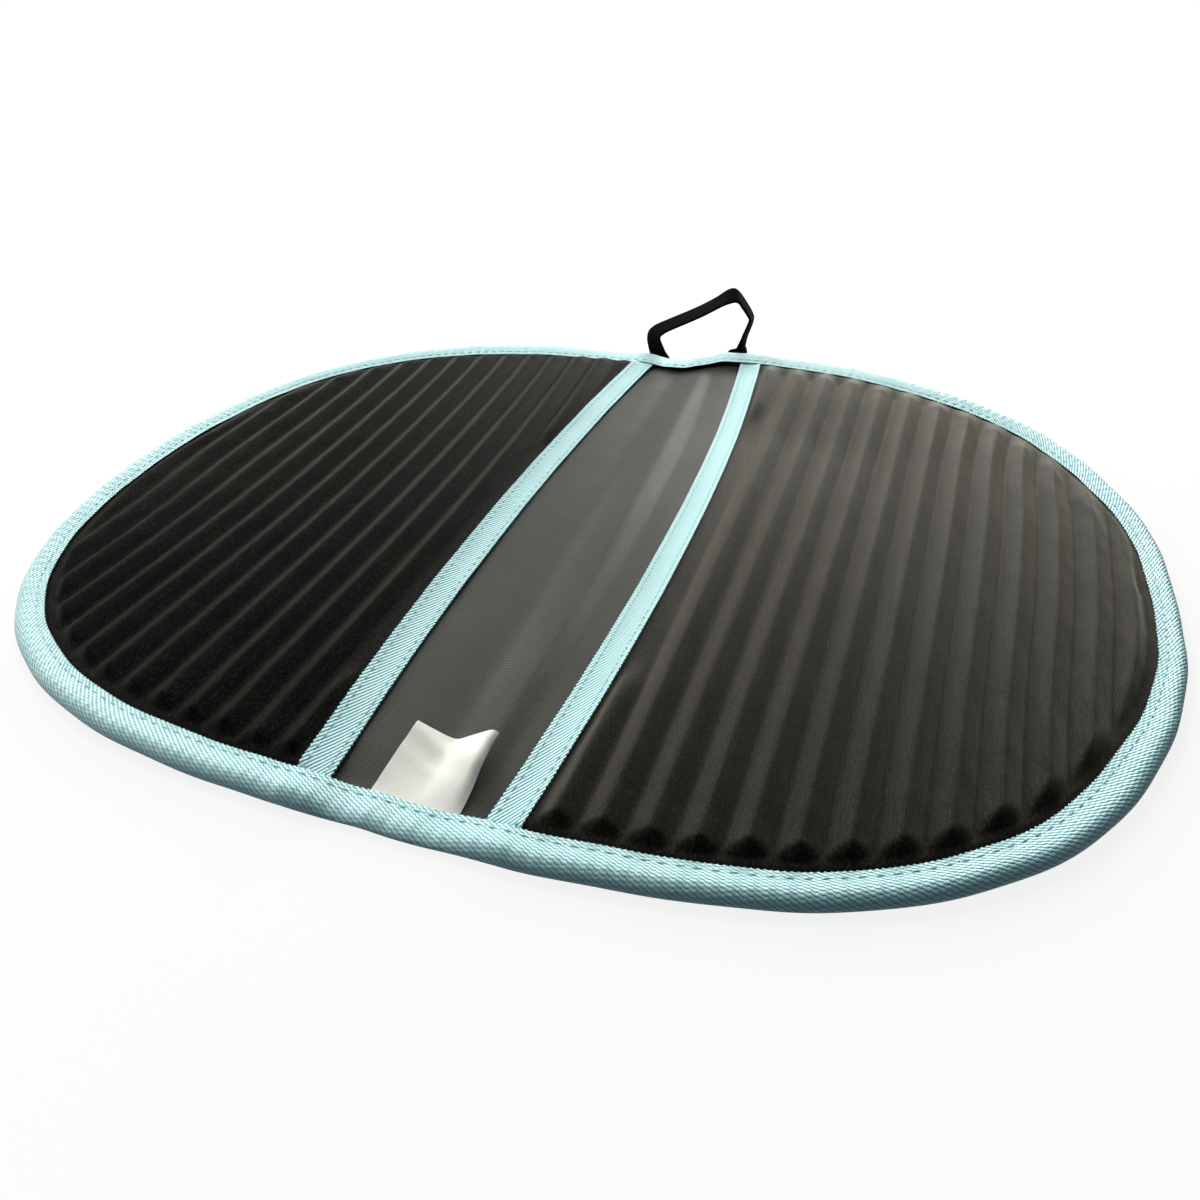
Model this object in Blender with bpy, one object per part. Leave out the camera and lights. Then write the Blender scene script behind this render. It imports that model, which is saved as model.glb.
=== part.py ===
"""Folding seat mat: two ribbed foam halves on one cloth, bound with twill tape and folding along the middle.

Metres, +Z up. The mat lies open on z = 0. +X runs across the fold to the right half and +Y to the back edge,
where the webbing loop is sewn in. The origin is the middle of the underside, on the fold line.
"""

import math

import bmesh
import bpy
from mathutils import Vector

# Plan of the open mat: a rounded oval
WIDTH = 0.400
DEPTH = 0.340
OUTLINE_POWER = 2.7

# Layers
CLEARANCE = 0.0003
BASE_CLOTH_THICKNESS = 0.0006
FACE_FABRIC_THICKNESS = 0.0008
FOAM_EDGE_THICKNESS = 0.0016
FOAM_SEAM_THICKNESS = 0.0004

# Moulded ribs, which run from front to back
RIB_PITCH = 0.0122
RIB_HEIGHT = 0.0030
RIB_ROUNDNESS = 0.7
FIRST_GROOVE = 0.046
RIB_MARGIN = 0.0035
RIB_END_LENGTH = 0.0065
SEAM_FADE = 0.009

# Twill tape round the edge
BINDING_WIDTH = 0.009
BINDING_THICKNESS = 0.0007

# Twill tape over the inner edge of each pad, bowed away from the fold
SEAM_TAPE_WIDTH = 0.010
SEAM_TAPE_THICKNESS = 0.0007
SEAM_TAPE_OFFSET = 0.032
SEAM_TAPE_BOW = 0.0075
SEAM_TAPE_ON_PAD = 0.006

# Sewing thread
THREAD_DIAMETER = 0.0005
THREAD_INSET = 0.0018

# Webbing loop at the back edge
LOOP_WEBBING_WIDTH = 0.010
LOOP_WEBBING_THICKNESS = 0.0012
LOOP_SPAN = 0.042
LOOP_RISE = 0.034
LOOP_REACH = 0.0075

# Sewn label at the front edge, in the fold
LABEL_WIDTH = 0.024
LABEL_LENGTH = 0.030
LABEL_THICKNESS = 0.0004
LABEL_OFFSET = 0.003
LABEL_LIFT = 0.004

# Room between the rib tops when the mat is folded shut, on each side of the hinge axis
FOLD_CLEARANCE = 0.0005

# Heights that follow from the layers
CLOTH_EDGE_LIFT = BINDING_THICKNESS + CLEARANCE
FOAM_EDGE_BOTTOM = CLOTH_EDGE_LIFT + BASE_CLOTH_THICKNESS + CLEARANCE
FOAM_TO_FACE_TOP = CLEARANCE + FACE_FABRIC_THICKNESS
PAD_EDGE_TOP = FOAM_EDGE_BOTTOM + FOAM_EDGE_THICKNESS + FOAM_TO_FACE_TOP
PAD_SEAM_TOP = FOAM_EDGE_BOTTOM + FOAM_SEAM_THICKNESS + FOAM_TO_FACE_TOP
RIB_TOP = PAD_EDGE_TOP + RIB_HEIGHT
BINDING_HEIGHT = PAD_EDGE_TOP + CLEARANCE + BINDING_THICKNESS
BINDING_SEAM_HEIGHT = PAD_SEAM_TOP + CLEARANCE + BINDING_THICKNESS
BINDING_FOLD_HEIGHT = CLOTH_EDGE_LIFT + BASE_CLOTH_THICKNESS + CLEARANCE + BINDING_THICKNESS
FOLD_AXIS_HEIGHT = RIB_TOP + FOLD_CLEARANCE

# Distances from the outer edge that follow from the binding
LAYER_INSET = BINDING_HEIGHT / 2 + CLEARANCE
RIB_FOOT = BINDING_WIDTH + RIB_MARGIN
PAST_BINDING = BINDING_WIDTH + CLEARANCE

# Grid of a pad: rows by their distance from the edge, with the largest share of the depth that each may take,
# then rows by their share of what is left, and columns by their share of a rib
END_ROWS = (LAYER_INSET, PAST_BINDING, RIB_FOOT, RIB_FOOT + 0.3 * RIB_END_LENGTH, RIB_FOOT + RIB_END_LENGTH)
END_ROW_LIMITS = (0.0, 0.30, 0.40, 0.50, 0.60)
MIDDLE_ROWS = (0.66, 0.33, 0.0, -0.33, -0.66)
RIB_COLUMN_PHASES = (0.0, 0.21, 0.5, 0.79)
CLOTH_COLUMN_PHASES = (0.0, 0.5)
SEAM_COLUMNS = (0.0, 1 / 3, 2 / 3)
RIM_COLUMNS = (0.4, 0.75, 0.93)

# Steps of the binding along a quarter of the oval, and of the loop along each span of its path
BINDING_STEPS = 15
LOOP_STEPS_PER_SPAN = 2

SIDES = {"right": 1, "left": -1}

# Loop path: share of half the span, of the reach past the back edge and of the rise, then the webbing's twist
# in degrees, which is 0 where it lies flat on the edge and 90 where its width points to the back
LOOP_PATH = (
    (-1.00, 0.00, 0.00, 0),
    (-1.02, 0.45, 0.02, 0),
    (-1.10, 0.85, 0.13, 5),
    (-1.22, 1.00, 0.30, 20),
    (-1.26, 1.05, 0.42, 50),
    (-1.02, 1.05, 0.52, 80),
    (-0.45, 1.05, 0.69, 90),
    (0.18, 1.05, 0.87, 90),
    (0.62, 1.05, 0.99, 90),
    (0.86, 1.05, 0.98, 90),
    (1.03, 1.05, 0.83, 90),
    (1.08, 1.05, 0.66, 90),
    (1.05, 1.00, 0.43, 80),
    (1.01, 0.90, 0.20, 45),
    (1.00, 0.45, 0.02, 10),
    (1.00, 0.00, 0.00, 0),
)

TWILL_AQUA = (0.45, 0.69, 0.72)
KNIT_BLACK = (0.022, 0.022, 0.020)
OXFORD_GREY = (0.060, 0.061, 0.055)
FOAM_GREY = (0.16, 0.16, 0.16)
WEBBING_BLACK = (0.010, 0.011, 0.010)
LABEL_WHITE = (0.80, 0.78, 0.68)


def clamp(value, low=0.0, high=1.0):
    return max(low, min(high, value))


def smooth(value):
    value = clamp(value)
    return value * value * (3 - 2 * value)


# The plan


def half_depth_at(x, inset=0.0):
    """Half the depth of the oval at x, with the oval drawn in by inset."""
    share = clamp(abs(x) / (WIDTH / 2 - inset))
    return (DEPTH / 2 - inset) * (1 - share**OUTLINE_POWER) ** (1 / OUTLINE_POWER)


def edge_slant(x, inset=0.0):
    """How much longer a step in y is than the step across the edge that it stands for, at x."""
    a, b = WIDTH / 2 - inset, DEPTH / 2 - inset
    share = clamp(abs(x) / a, 0.0, 0.999)
    rest = 1 - share**OUTLINE_POWER
    slope = b / a * share ** (OUTLINE_POWER - 1) * rest ** (1 / OUTLINE_POWER - 1)
    return math.hypot(1, slope)


def edge_distance(x, y):
    """Distance from the outer edge of the oval inwards to (x, y)."""
    u, v = abs(x) / (WIDTH / 2), abs(y) / (DEPTH / 2)
    gauge = max((u**OUTLINE_POWER + v**OUTLINE_POWER) ** (1 / OUTLINE_POWER), 1e-6)
    across = u ** (OUTLINE_POWER - 1) / (WIDTH / 2)
    along = v ** (OUTLINE_POWER - 1) / (DEPTH / 2)
    return (1 - gauge) / (gauge ** (1 - OUTLINE_POWER) * math.hypot(across, along) + 1e-9)


def tape_outer(y):
    """Distance of a seam tape's outer edge from the fold line."""
    return SEAM_TAPE_OFFSET + SEAM_TAPE_BOW * (1 - (y / (DEPTH / 2)) ** 2)


def pad_inner(y):
    """Distance of a pad's inner edge, which the seam tape covers, from the fold line."""
    return tape_outer(y) - SEAM_TAPE_ON_PAD


# Heights of the layers at (x, y)


def cloth_bottom(x, y):
    """The base cloth lies on the ground and rises in the margin of the ribs to go into the binding."""
    inside = (edge_distance(x, y) - PAST_BINDING) / (RIB_FOOT - PAST_BINDING)
    return CLOTH_EDGE_LIFT * (1 - clamp(inside))


def cloth_top(x, y):
    return cloth_bottom(x, y) + BASE_CLOTH_THICKNESS


def flat_top(x, y):
    """Top of the pad with no ribs: full at the edge, pressed thin under the seam tape."""
    share = clamp((abs(x) - pad_inner(y)) / SEAM_TAPE_ON_PAD)
    return PAD_SEAM_TOP + (PAD_EDGE_TOP - PAD_SEAM_TOP) * share


def rib_rise(x, y):
    """Height of the ribs above the flat of the pad, round at their ends and fading out beside the seam tape."""
    wave = abs(math.sin(math.pi * (abs(x) - FIRST_GROOVE) / RIB_PITCH)) ** RIB_ROUNDNESS
    run = clamp((edge_distance(x, y) - RIB_FOOT) / RIB_END_LENGTH)
    fade = smooth((abs(x) - tape_outer(y)) / SEAM_FADE)
    return RIB_HEIGHT * wave * math.sqrt(1 - (1 - run) ** 2) * fade


def face_top(x, y):
    return flat_top(x, y) + rib_rise(x, y)


def face_bottom(x, y):
    return face_top(x, y) - FACE_FABRIC_THICKNESS


def foam_top(x, y):
    return face_bottom(x, y) - CLEARANCE


def foam_bottom(x, y):
    return cloth_top(x, y) + CLEARANCE


def tape_bottom(x, y):
    """Underside of a seam tape: along the pad's pressed edge, then down to the base cloth."""
    offset = clamp(tape_outer(y) - abs(x), 0.0, SEAM_TAPE_WIDTH)
    if offset <= SEAM_TAPE_ON_PAD:
        return flat_top(x, y) + CLEARANCE
    share = (offset - SEAM_TAPE_ON_PAD) / (SEAM_TAPE_WIDTH - SEAM_TAPE_ON_PAD)
    return PAD_SEAM_TOP + (cloth_top(x, y) - PAD_SEAM_TOP) * share + CLEARANCE


def tape_top(x, y):
    return tape_bottom(x, y) + SEAM_TAPE_THICKNESS


def binding_top(x):
    """The binding is thick round a pad and thin where it holds only the base cloth, across the fold."""
    outer, inner = SEAM_TAPE_OFFSET, SEAM_TAPE_OFFSET - SEAM_TAPE_ON_PAD
    flat = max(inner - SEAM_TAPE_ON_PAD, 0.0)
    if abs(x) >= inner:
        share = clamp((abs(x) - inner) / (outer - inner))
        return BINDING_SEAM_HEIGHT + (BINDING_HEIGHT - BINDING_SEAM_HEIGHT) * share
    share = clamp((abs(x) - flat) / (inner - flat))
    return BINDING_FOLD_HEIGHT + (BINDING_SEAM_HEIGHT - BINDING_FOLD_HEIGHT) * share


# Making and placing objects


def material(name, colour, roughness):
    made = bpy.data.materials.new(name)
    made.use_nodes = True
    shader = made.node_tree.nodes["Principled BSDF"]
    shader.inputs["Base Color"].default_value = (*colour, 1.0)
    shader.inputs["Roughness"].default_value = roughness
    shader.inputs["Metallic"].default_value = 0.0
    return made


def add_object(name, data, body, finish):
    """Puts mesh or curve data, made in world coordinates, under the empty of the half that carries it."""
    data.materials.append(finish)
    obj = bpy.data.objects.new(name, data)
    mat_collection.objects.link(obj)
    obj.parent = body
    obj.location = -body.location
    return obj


def add_mesh(name, bm, body, finish):
    bmesh.ops.recalc_face_normals(bm, faces=bm.faces[:])
    mesh = bpy.data.meshes.new(name)
    bm.to_mesh(mesh)
    bm.free()
    mesh.shade_smooth()
    mesh.set_sharp_from_angle(angle=math.radians(35))
    return add_object(name, mesh, body, finish)


def sheet(columns, rows, place, low, high):
    """A closed sheet: a grid set out by place(column, row), between the heights low and high at (x, y)."""
    bm = bmesh.new()
    bmesh.ops.create_grid(bm, x_segments=columns - 1, y_segments=rows - 1, size=0.5)
    for vert in bm.verts:
        column = round((vert.co.x + 0.5) * (columns - 1))
        row = round((vert.co.y + 0.5) * (rows - 1))
        x, y = place(column, row)
        vert.co = (x, y, high(x, y))
    grown = bmesh.ops.extrude_face_region(bm, geom=bm.faces[:], use_keep_orig=True)
    for vert in grown["geom"]:
        if isinstance(vert, bmesh.types.BMVert):
            vert.co.z = low(vert.co.x, vert.co.y)
    return bm


def loft(sections):
    """A closed solid through rings of as many points each, with a flat cap at either end."""
    bm = bmesh.new()
    rings = [[bm.verts.new(point) for point in section] for section in sections]
    size = len(rings[0])
    for first, second in zip(rings, rings[1:]):
        for k in range(size):
            bm.faces.new((first[k], first[(k + 1) % size], second[(k + 1) % size], second[k]))
    bm.faces.new(rings[0])
    bm.faces.new(rings[-1])
    return bm


def thread(name, points, body, finish):
    """A row of sewing thread as a thin rod through the points."""
    curve = bpy.data.curves.new(name, "CURVE")
    curve.dimensions = "3D"
    curve.bevel_depth = THREAD_DIAMETER / 2
    curve.bevel_resolution = 0
    curve.use_fill_caps = True
    spline = curve.splines.new("POLY")
    spline.points.add(len(points) - 1)
    for point, place in zip(spline.points, points):
        point.co = (*place, 1.0)
    return add_object(name, curve, body, finish)


# The grid that the layers of a pad share


def row_depths(x):
    """y of each row of the grid at x, from the front edge to the back edge."""
    outer = half_depth_at(x, LAYER_INSET)
    slant = edge_slant(x, LAYER_INSET)
    ends = [
        outer - min((row - LAYER_INSET) * slant, outer * limit)
        for row, limit in zip(END_ROWS, END_ROW_LIMITS)
    ]
    middle = [ends[-1] * share for share in MIDDLE_ROWS]
    return [-y for y in ends] + [-y for y in middle] + ends[::-1]


def pad_columns(phases):
    """Columns of the grid, with phases as their places in each rib.

    Each is its x at the ends of the ribs, with its share of the way from the seam tape to the first groove:
    -1 on the pad's inner edge, or None past that groove.
    """
    gap = FIRST_GROOVE - SEAM_TAPE_OFFSET
    columns = [(SEAM_TAPE_OFFSET - SEAM_TAPE_ON_PAD, -1.0)]
    columns += [(SEAM_TAPE_OFFSET + share * gap, share) for share in SEAM_COLUMNS]
    rib_limit = WIDTH / 2 - RIB_FOOT
    ribs = math.ceil((rib_limit - FIRST_GROOVE) / RIB_PITCH)
    across = [FIRST_GROOVE + (rib + phase) * RIB_PITCH for rib in range(ribs) for phase in phases]
    across = [x for x in across if x < rib_limit - CLEARANCE]
    across += [rib_limit, WIDTH / 2 - PAST_BINDING]
    band = WIDTH / 2 - LAYER_INSET - across[-1]
    across += [across[-1] + share * band for share in RIM_COLUMNS]
    return columns + [(x, None) for x in across]


def pad_place(side, columns, rows, column, row):
    nominal, share = columns[column]
    y = rows[column][row]
    if share is None:
        return side * nominal, y
    if share < 0:
        return side * (pad_inner(y) + CLEARANCE / 2), y
    return side * (tape_outer(y) + share * (FIRST_GROOVE - tape_outer(y))), y


def add_pad(half, side, body):
    """The three layers of one half: base cloth, ribbed foam and the fabric moulded onto it."""
    layers = (
        ("base_cloth", CLOTH_COLUMN_PHASES, cloth_bottom, cloth_top, oxford),
        ("foam_core", RIB_COLUMN_PHASES, foam_bottom, foam_top, foam),
        ("face_fabric", RIB_COLUMN_PHASES, face_bottom, face_top, knit),
    )
    for name, phases, low, high, finish in layers:
        columns = pad_columns(phases)
        rows = [row_depths(nominal) for nominal, _ in columns]
        bm = sheet(
            len(columns),
            len(rows[0]),
            lambda column, row: pad_place(side, columns, rows, column, row),
            low,
            high,
        )
        add_mesh(f"{half}_{name}", bm, body, finish)


# The tapes and their thread


def seam_depths():
    """y of each row of a seam tape, which ends at the binding."""
    end = half_depth_at(SEAM_TAPE_OFFSET + SEAM_TAPE_BOW) - BINDING_WIDTH - CLEARANCE
    rows = row_depths(SEAM_TAPE_OFFSET)
    return [-end] + [y for y in rows if abs(y) < end - CLEARANCE] + [end]


def add_seam_tape(half, side, body):
    rows = seam_depths()
    offsets = (0.0, SEAM_TAPE_ON_PAD / 2, SEAM_TAPE_ON_PAD, SEAM_TAPE_WIDTH)
    bm = sheet(
        len(offsets),
        len(rows),
        lambda column, row: (side * (tape_outer(rows[row]) - offsets[column]), rows[row]),
        tape_bottom,
        tape_top,
    )
    add_mesh(f"{half}_seam_tape", bm, body, twill)
    above = CLEARANCE + THREAD_DIAMETER / 2
    for name, offset in (("outer", THREAD_INSET), ("inner", SEAM_TAPE_WIDTH - THREAD_INSET)):
        row_of_thread = [(side * (tape_outer(y) - offset), y) for y in rows]
        points = [(x, y, tape_top(x, y) + above) for x, y in row_of_thread]
        thread(f"{half}_tape_{name}_thread", points, body, sewing)


def binding_stations(side):
    """Points of the outer edge of one half with their outward normals, from the front of the fold to the back."""
    inner = SEAM_TAPE_OFFSET - SEAM_TAPE_ON_PAD
    near_fold = [CLEARANCE / 2, max(inner - SEAM_TAPE_ON_PAD, inner / 2), inner, SEAM_TAPE_OFFSET]
    start = math.acos((SEAM_TAPE_OFFSET / (WIDTH / 2)) ** (OUTLINE_POWER / 2))
    turns = [start * (1 - k / BINDING_STEPS) for k in range(1, BINDING_STEPS)]
    quarter = [(x, half_depth_at(x)) for x in near_fold]
    for turn in turns:
        x = WIDTH / 2 * math.cos(turn) ** (2 / OUTLINE_POWER)
        quarter.append((x, DEPTH / 2 * math.sin(turn) ** (2 / OUTLINE_POWER)))
    front = [(x, -y) for x, y in quarter]
    stations = []
    for x, y in front + [(WIDTH / 2, 0.0)] + quarter[::-1]:
        across = (x / (WIDTH / 2)) ** (OUTLINE_POWER - 1) / (WIDTH / 2)
        along = (abs(y) / (DEPTH / 2)) ** (OUTLINE_POWER - 1) / (DEPTH / 2)
        normal = Vector((side * across, math.copysign(along, y), 0.0)).normalized()
        stations.append((Vector((side * x, y, 0.0)), normal))
    first, last = stations[0], stations[-1]
    stations[0] = (first[0], Vector((0.0, -1.0, 0.0)))
    stations[-1] = (last[0], Vector((0.0, 1.0, 0.0)))
    return stations


def binding_section(point, normal):
    """The folded tape's U at one station: over the edge, round it and back underneath."""
    height = binding_top(point.x)
    radius = height / 2
    inner = radius - BINDING_THICKNESS
    corner = math.sqrt(0.5)
    outer_side = [(radius, height), (radius * (1 - corner), radius * (1 + corner)), (0.0, radius)]
    outer_side += [(radius * (1 - corner), radius * (1 - corner)), (radius, 0.0)]
    inner_side = [(radius, BINDING_THICKNESS), (radius - inner * corner, radius - inner * corner)]
    inner_side += [(BINDING_THICKNESS, radius), (radius - inner * corner, radius + inner * corner)]
    inner_side += [(radius, height - BINDING_THICKNESS)]
    outline = [(BINDING_WIDTH, height), *outer_side, (BINDING_WIDTH, 0.0)]
    outline += [(BINDING_WIDTH, BINDING_THICKNESS), *inner_side, (BINDING_WIDTH, height - BINDING_THICKNESS)]
    return [point - normal * inward + Vector((0.0, 0.0, up)) for inward, up in outline]


def add_binding(half, side, body):
    stations = binding_stations(side)
    bm = loft([binding_section(point, normal) for point, normal in stations])
    add_mesh(f"{half}_binding", bm, body, twill)
    above = CLEARANCE + THREAD_DIAMETER / 2
    inset = BINDING_WIDTH - THREAD_INSET
    points = [
        point - normal * inset + Vector((0.0, 0.0, binding_top(point.x) + above))
        for point, normal in stations
    ]
    thread(f"{half}_binding_thread", points, body, sewing)


# The fold, with what is sewn in at its two ends


def add_fold_cloth(body):
    """The strip of the base cloth between the pads, which bends when the mat is folded."""
    shares = (-1.0, -0.5, 0.0, 0.5, 1.0)
    rows = row_depths(SEAM_TAPE_OFFSET - SEAM_TAPE_ON_PAD)
    bm = sheet(
        len(shares),
        len(rows),
        lambda column, row: (shares[column] * (pad_inner(rows[row]) - CLEARANCE / 2), rows[row]),
        cloth_bottom,
        cloth_top,
    )
    add_mesh("fold_cloth", bm, body, oxford)


def add_label(body):
    """A bare label, sewn in at the front binding with its free end standing up a little."""
    front = half_depth_at(abs(LABEL_OFFSET) + LABEL_WIDTH / 2) - BINDING_WIDTH - CLEARANCE
    columns, rows = 3, 7

    def place(column, row):
        x = LABEL_OFFSET + LABEL_WIDTH * (column / (columns - 1) - 0.5)
        return x, -front + LABEL_LENGTH * row / (rows - 1)

    def low(x, y):
        lift = LABEL_LIFT * ((y + front) / LABEL_LENGTH) ** 2
        return cloth_top(x, y) + CLEARANCE + lift

    bm = sheet(columns, rows, place, low, lambda x, y: low(x, y) + LABEL_THICKNESS)
    add_mesh("care_label", bm, body, satin)


def between(points, step):
    """The point at a share of the way along a smooth curve through the points, one span for each whole step."""
    span = min(int(step), len(points) - 2)
    t = step - span
    p1, p2 = points[span], points[span + 1]
    p0 = points[span - 1] if span > 0 else p1
    p3 = points[span + 2] if span + 2 < len(points) else p2
    bend = (p0 * 2 - p1 * 5 + p2 * 4 - p3) * t * t + (p1 * 3 - p0 - p2 * 3 + p3) * t * t * t
    return p1 + ((p2 - p0) * t + bend) / 2


def add_loop(body):
    """The webbing loop: a flat strap that leaves the back edge, stands up and comes back to the edge."""
    foot_height = binding_top(LOOP_SPAN / 2) / 2
    back = half_depth_at(LOOP_SPAN / 2 - LOOP_WEBBING_WIDTH / 2) + CLEARANCE
    route = [
        Vector((x * LOOP_SPAN / 2, back + y * LOOP_REACH, foot_height + z * LOOP_RISE))
        for x, y, z, _ in LOOP_PATH
    ]
    twists = [Vector((twist, 0.0, 0.0)) for *_, twist in LOOP_PATH]
    steps = [k / LOOP_STEPS_PER_SPAN for k in range((len(route) - 1) * LOOP_STEPS_PER_SPAN + 1)]
    sections = []
    for step in steps:
        centre = between(route, step)
        ahead = between(route, min(step + 0.1, steps[-1])) - between(route, max(step - 0.1, 0.0))
        along = Vector((0.0, 1.0, 0.0)) if step == 0 else ahead.normalized()
        if step == steps[-1]:
            along = Vector((0.0, -1.0, 0.0))
        twist = math.radians(between(twists, step).x)
        aim = Vector((math.cos(twist), math.sin(twist), 0.0))
        across = (aim - along * aim.dot(along)).normalized()
        face = along.cross(across)
        half_width = across * LOOP_WEBBING_WIDTH / 2
        half_thickness = face * LOOP_WEBBING_THICKNESS / 2
        sections.append(
            [
                centre + half_width + half_thickness,
                centre - half_width + half_thickness,
                centre - half_width - half_thickness,
                centre + half_width - half_thickness,
            ]
        )
    add_mesh("grab_loop", loft(sections), body, webbing)


for old in list(bpy.data.objects):
    bpy.data.objects.remove(old, do_unlink=True)

mat_collection = bpy.data.collections.new("folding_seat_mat")
bpy.context.scene.collection.children.link(mat_collection)

twill = material("aqua_twill_tape", TWILL_AQUA, 0.75)
sewing = material("aqua_sewing_thread", TWILL_AQUA, 0.6)
knit = material("black_moulded_knit", KNIT_BLACK, 0.85)
oxford = material("grey_oxford_cloth", OXFORD_GREY, 0.55)
foam = material("grey_closed_cell_foam", FOAM_GREY, 0.9)
webbing = material("black_webbing", WEBBING_BLACK, 0.7)
satin = material("white_label_satin", LABEL_WHITE, 0.45)

right_half = bpy.data.objects.new("right_half", None)
left_half = bpy.data.objects.new("left_half", None)
left_half.location = (0.0, 0.0, FOLD_AXIS_HEIGHT)
for half_empty in (right_half, left_half):
    mat_collection.objects.link(half_empty)

for half_name, half_side in SIDES.items():
    carrier = right_half if half_side > 0 else left_half
    add_pad(half_name, half_side, carrier)
    add_seam_tape(half_name, half_side, carrier)
    add_binding(half_name, half_side, carrier)

add_fold_cloth(right_half)
add_label(right_half)
add_loop(right_half)
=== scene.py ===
"""Folding seat mat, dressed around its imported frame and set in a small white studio.

Metres, +Z up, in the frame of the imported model: the mat lies open on z = 0, +X runs across the fold to
the right half and +Y to the back edge with the webbing loop.
"""

import logging
import math
from dataclasses import dataclass
from enum import Enum
from typing import Any, Sequence

import bmesh
import bpy
import numpy as np
from mathutils import Matrix, Vector


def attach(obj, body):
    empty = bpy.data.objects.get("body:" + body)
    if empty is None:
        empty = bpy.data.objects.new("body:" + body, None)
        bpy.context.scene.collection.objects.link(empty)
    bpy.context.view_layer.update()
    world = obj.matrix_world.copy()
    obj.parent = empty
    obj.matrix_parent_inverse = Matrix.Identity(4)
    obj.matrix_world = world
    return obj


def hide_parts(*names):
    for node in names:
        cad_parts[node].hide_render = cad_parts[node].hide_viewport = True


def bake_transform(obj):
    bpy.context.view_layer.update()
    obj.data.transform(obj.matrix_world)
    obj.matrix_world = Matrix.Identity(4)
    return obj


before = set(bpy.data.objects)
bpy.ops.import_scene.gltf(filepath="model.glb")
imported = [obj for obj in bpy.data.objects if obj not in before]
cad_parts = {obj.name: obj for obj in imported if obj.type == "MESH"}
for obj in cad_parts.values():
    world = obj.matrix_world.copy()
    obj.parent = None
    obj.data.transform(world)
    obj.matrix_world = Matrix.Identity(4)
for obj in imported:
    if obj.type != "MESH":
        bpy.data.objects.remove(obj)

LOG = logging.getLogger("folding_seat_mat")
MM = 0.001
CLOTH_MAP = "cloth_mm"
Array = np.ndarray


class Half(Enum):
    """The two halves of the mat, by the side of the fold that they lie on."""

    RIGHT = 1
    LEFT = -1

    @property
    def word(self) -> str:
        """The half's name in lower case."""
        return self.name.lower()

    @property
    def body(self) -> str:
        """The moving body that carries this half."""
        return f"{self.word}_half"


class Slot(Enum):
    """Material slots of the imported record."""

    CLOTH = "oxford_cloth"
    KNIT = "moulded_knit"
    TAPE = "twill_tape"
    THREAD = "sewing_thread"
    WEBBING = "webbing"
    LABEL = "label_satin"


class EdgeColumn(Enum):
    """What a column of the table round the edge holds."""

    OUTWARDS = 1
    WIDTH = 2


# Small tools


def smooth(value: Array | float) -> Array:
    """Eases 0 to 1, flat at both ends and outside them.

    Args:
        value: share of the way.

    Returns:
        The eased share.
    """
    share = np.clip(value, 0.0, 1.0)
    return share * share * (3 - 2 * share)


def bump(value: Array | float, middle: float, spread: float) -> Array:
    """A bell of height 1.

    Args:
        value: places to read it at.
        middle: place of the top.
        spread: distance from the top where it has fallen to 0.37.

    Returns:
        The bell's height at each place.
    """
    return np.exp(-(((np.asarray(value) - middle) / spread) ** 2))


def ripple(along: Array, seed: int, wavelengths: Sequence[float]) -> Array:
    """A wandering line between about -1 and 1, the same each run.

    Args:
        along: places along the line, in metres.
        seed: picks the line.
        wavelengths: lengths of the waves that it is made of, in metres.

    Returns:
        The line's height at each place.
    """
    phases = np.random.default_rng(seed).uniform(0, 2 * math.pi, len(wavelengths))
    waves = [np.sin(2 * math.pi * along / length + phase) for length, phase in zip(wavelengths, phases)]
    return sum(waves) / len(wavelengths)


def catmull(points: Array, samples: int) -> Array:
    """A smooth curve through points.

    Args:
        points: (n, k) array of points.
        samples: number of points wanted on the curve.

    Returns:
        (samples, k) array of points, as many in each span.
    """
    padded = np.vstack([2 * points[0] - points[1], points, 2 * points[-1] - points[-2]])
    steps = np.linspace(0, len(points) - 1, samples)
    span = np.minimum(steps.astype(int), len(points) - 2)
    t = (steps - span)[:, None]
    p0, p1, p2, p3 = (padded[span + k] for k in range(4))
    bend = (2 * p0 - 5 * p1 + 4 * p2 - p3) * t**2 + (3 * p1 - p0 - 3 * p2 + p3) * t**3
    return p1 + ((p2 - p0) * t + bend) / 2


def signed_power(value: Array, power: float) -> Array:
    """Raises the size of a value to a power and keeps its sign."""
    return np.sign(value) * np.abs(value) ** power


def run_lengths(points: Array) -> Array:
    """Distance of each point of a polyline from its start, along the line."""
    return np.r_[0, np.cumsum(np.linalg.norm(np.diff(points, axis=0), axis=1))]


def read_along(table: Array, lengths: Array, places: Array) -> Array:
    """Reads each column of a table at places along a line.

    Args:
        table: (n, k) array of values.
        lengths: distance of each row along the line.
        places: distances to read at, in an array of any shape.

    Returns:
        An array of that shape, with a last axis of k values.
    """
    return np.stack([np.interp(places, lengths, column) for column in table.T], axis=-1)


def even_steps(points: Array, samples: int) -> Array:
    """Spreads points evenly along a polyline.

    Args:
        points: (n, k) array of the polyline's points.
        samples: number of points wanted.

    Returns:
        (samples, k) array of points, equally far apart along the line.
    """
    lengths = run_lengths(points)
    return read_along(points, lengths, np.linspace(0, lengths[-1], samples))


def unit(vectors: Array) -> Array:
    """Scales vectors to length 1."""
    return vectors / np.maximum(np.linalg.norm(vectors, axis=-1, keepdims=True), 1e-12)


# Making meshes


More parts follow.
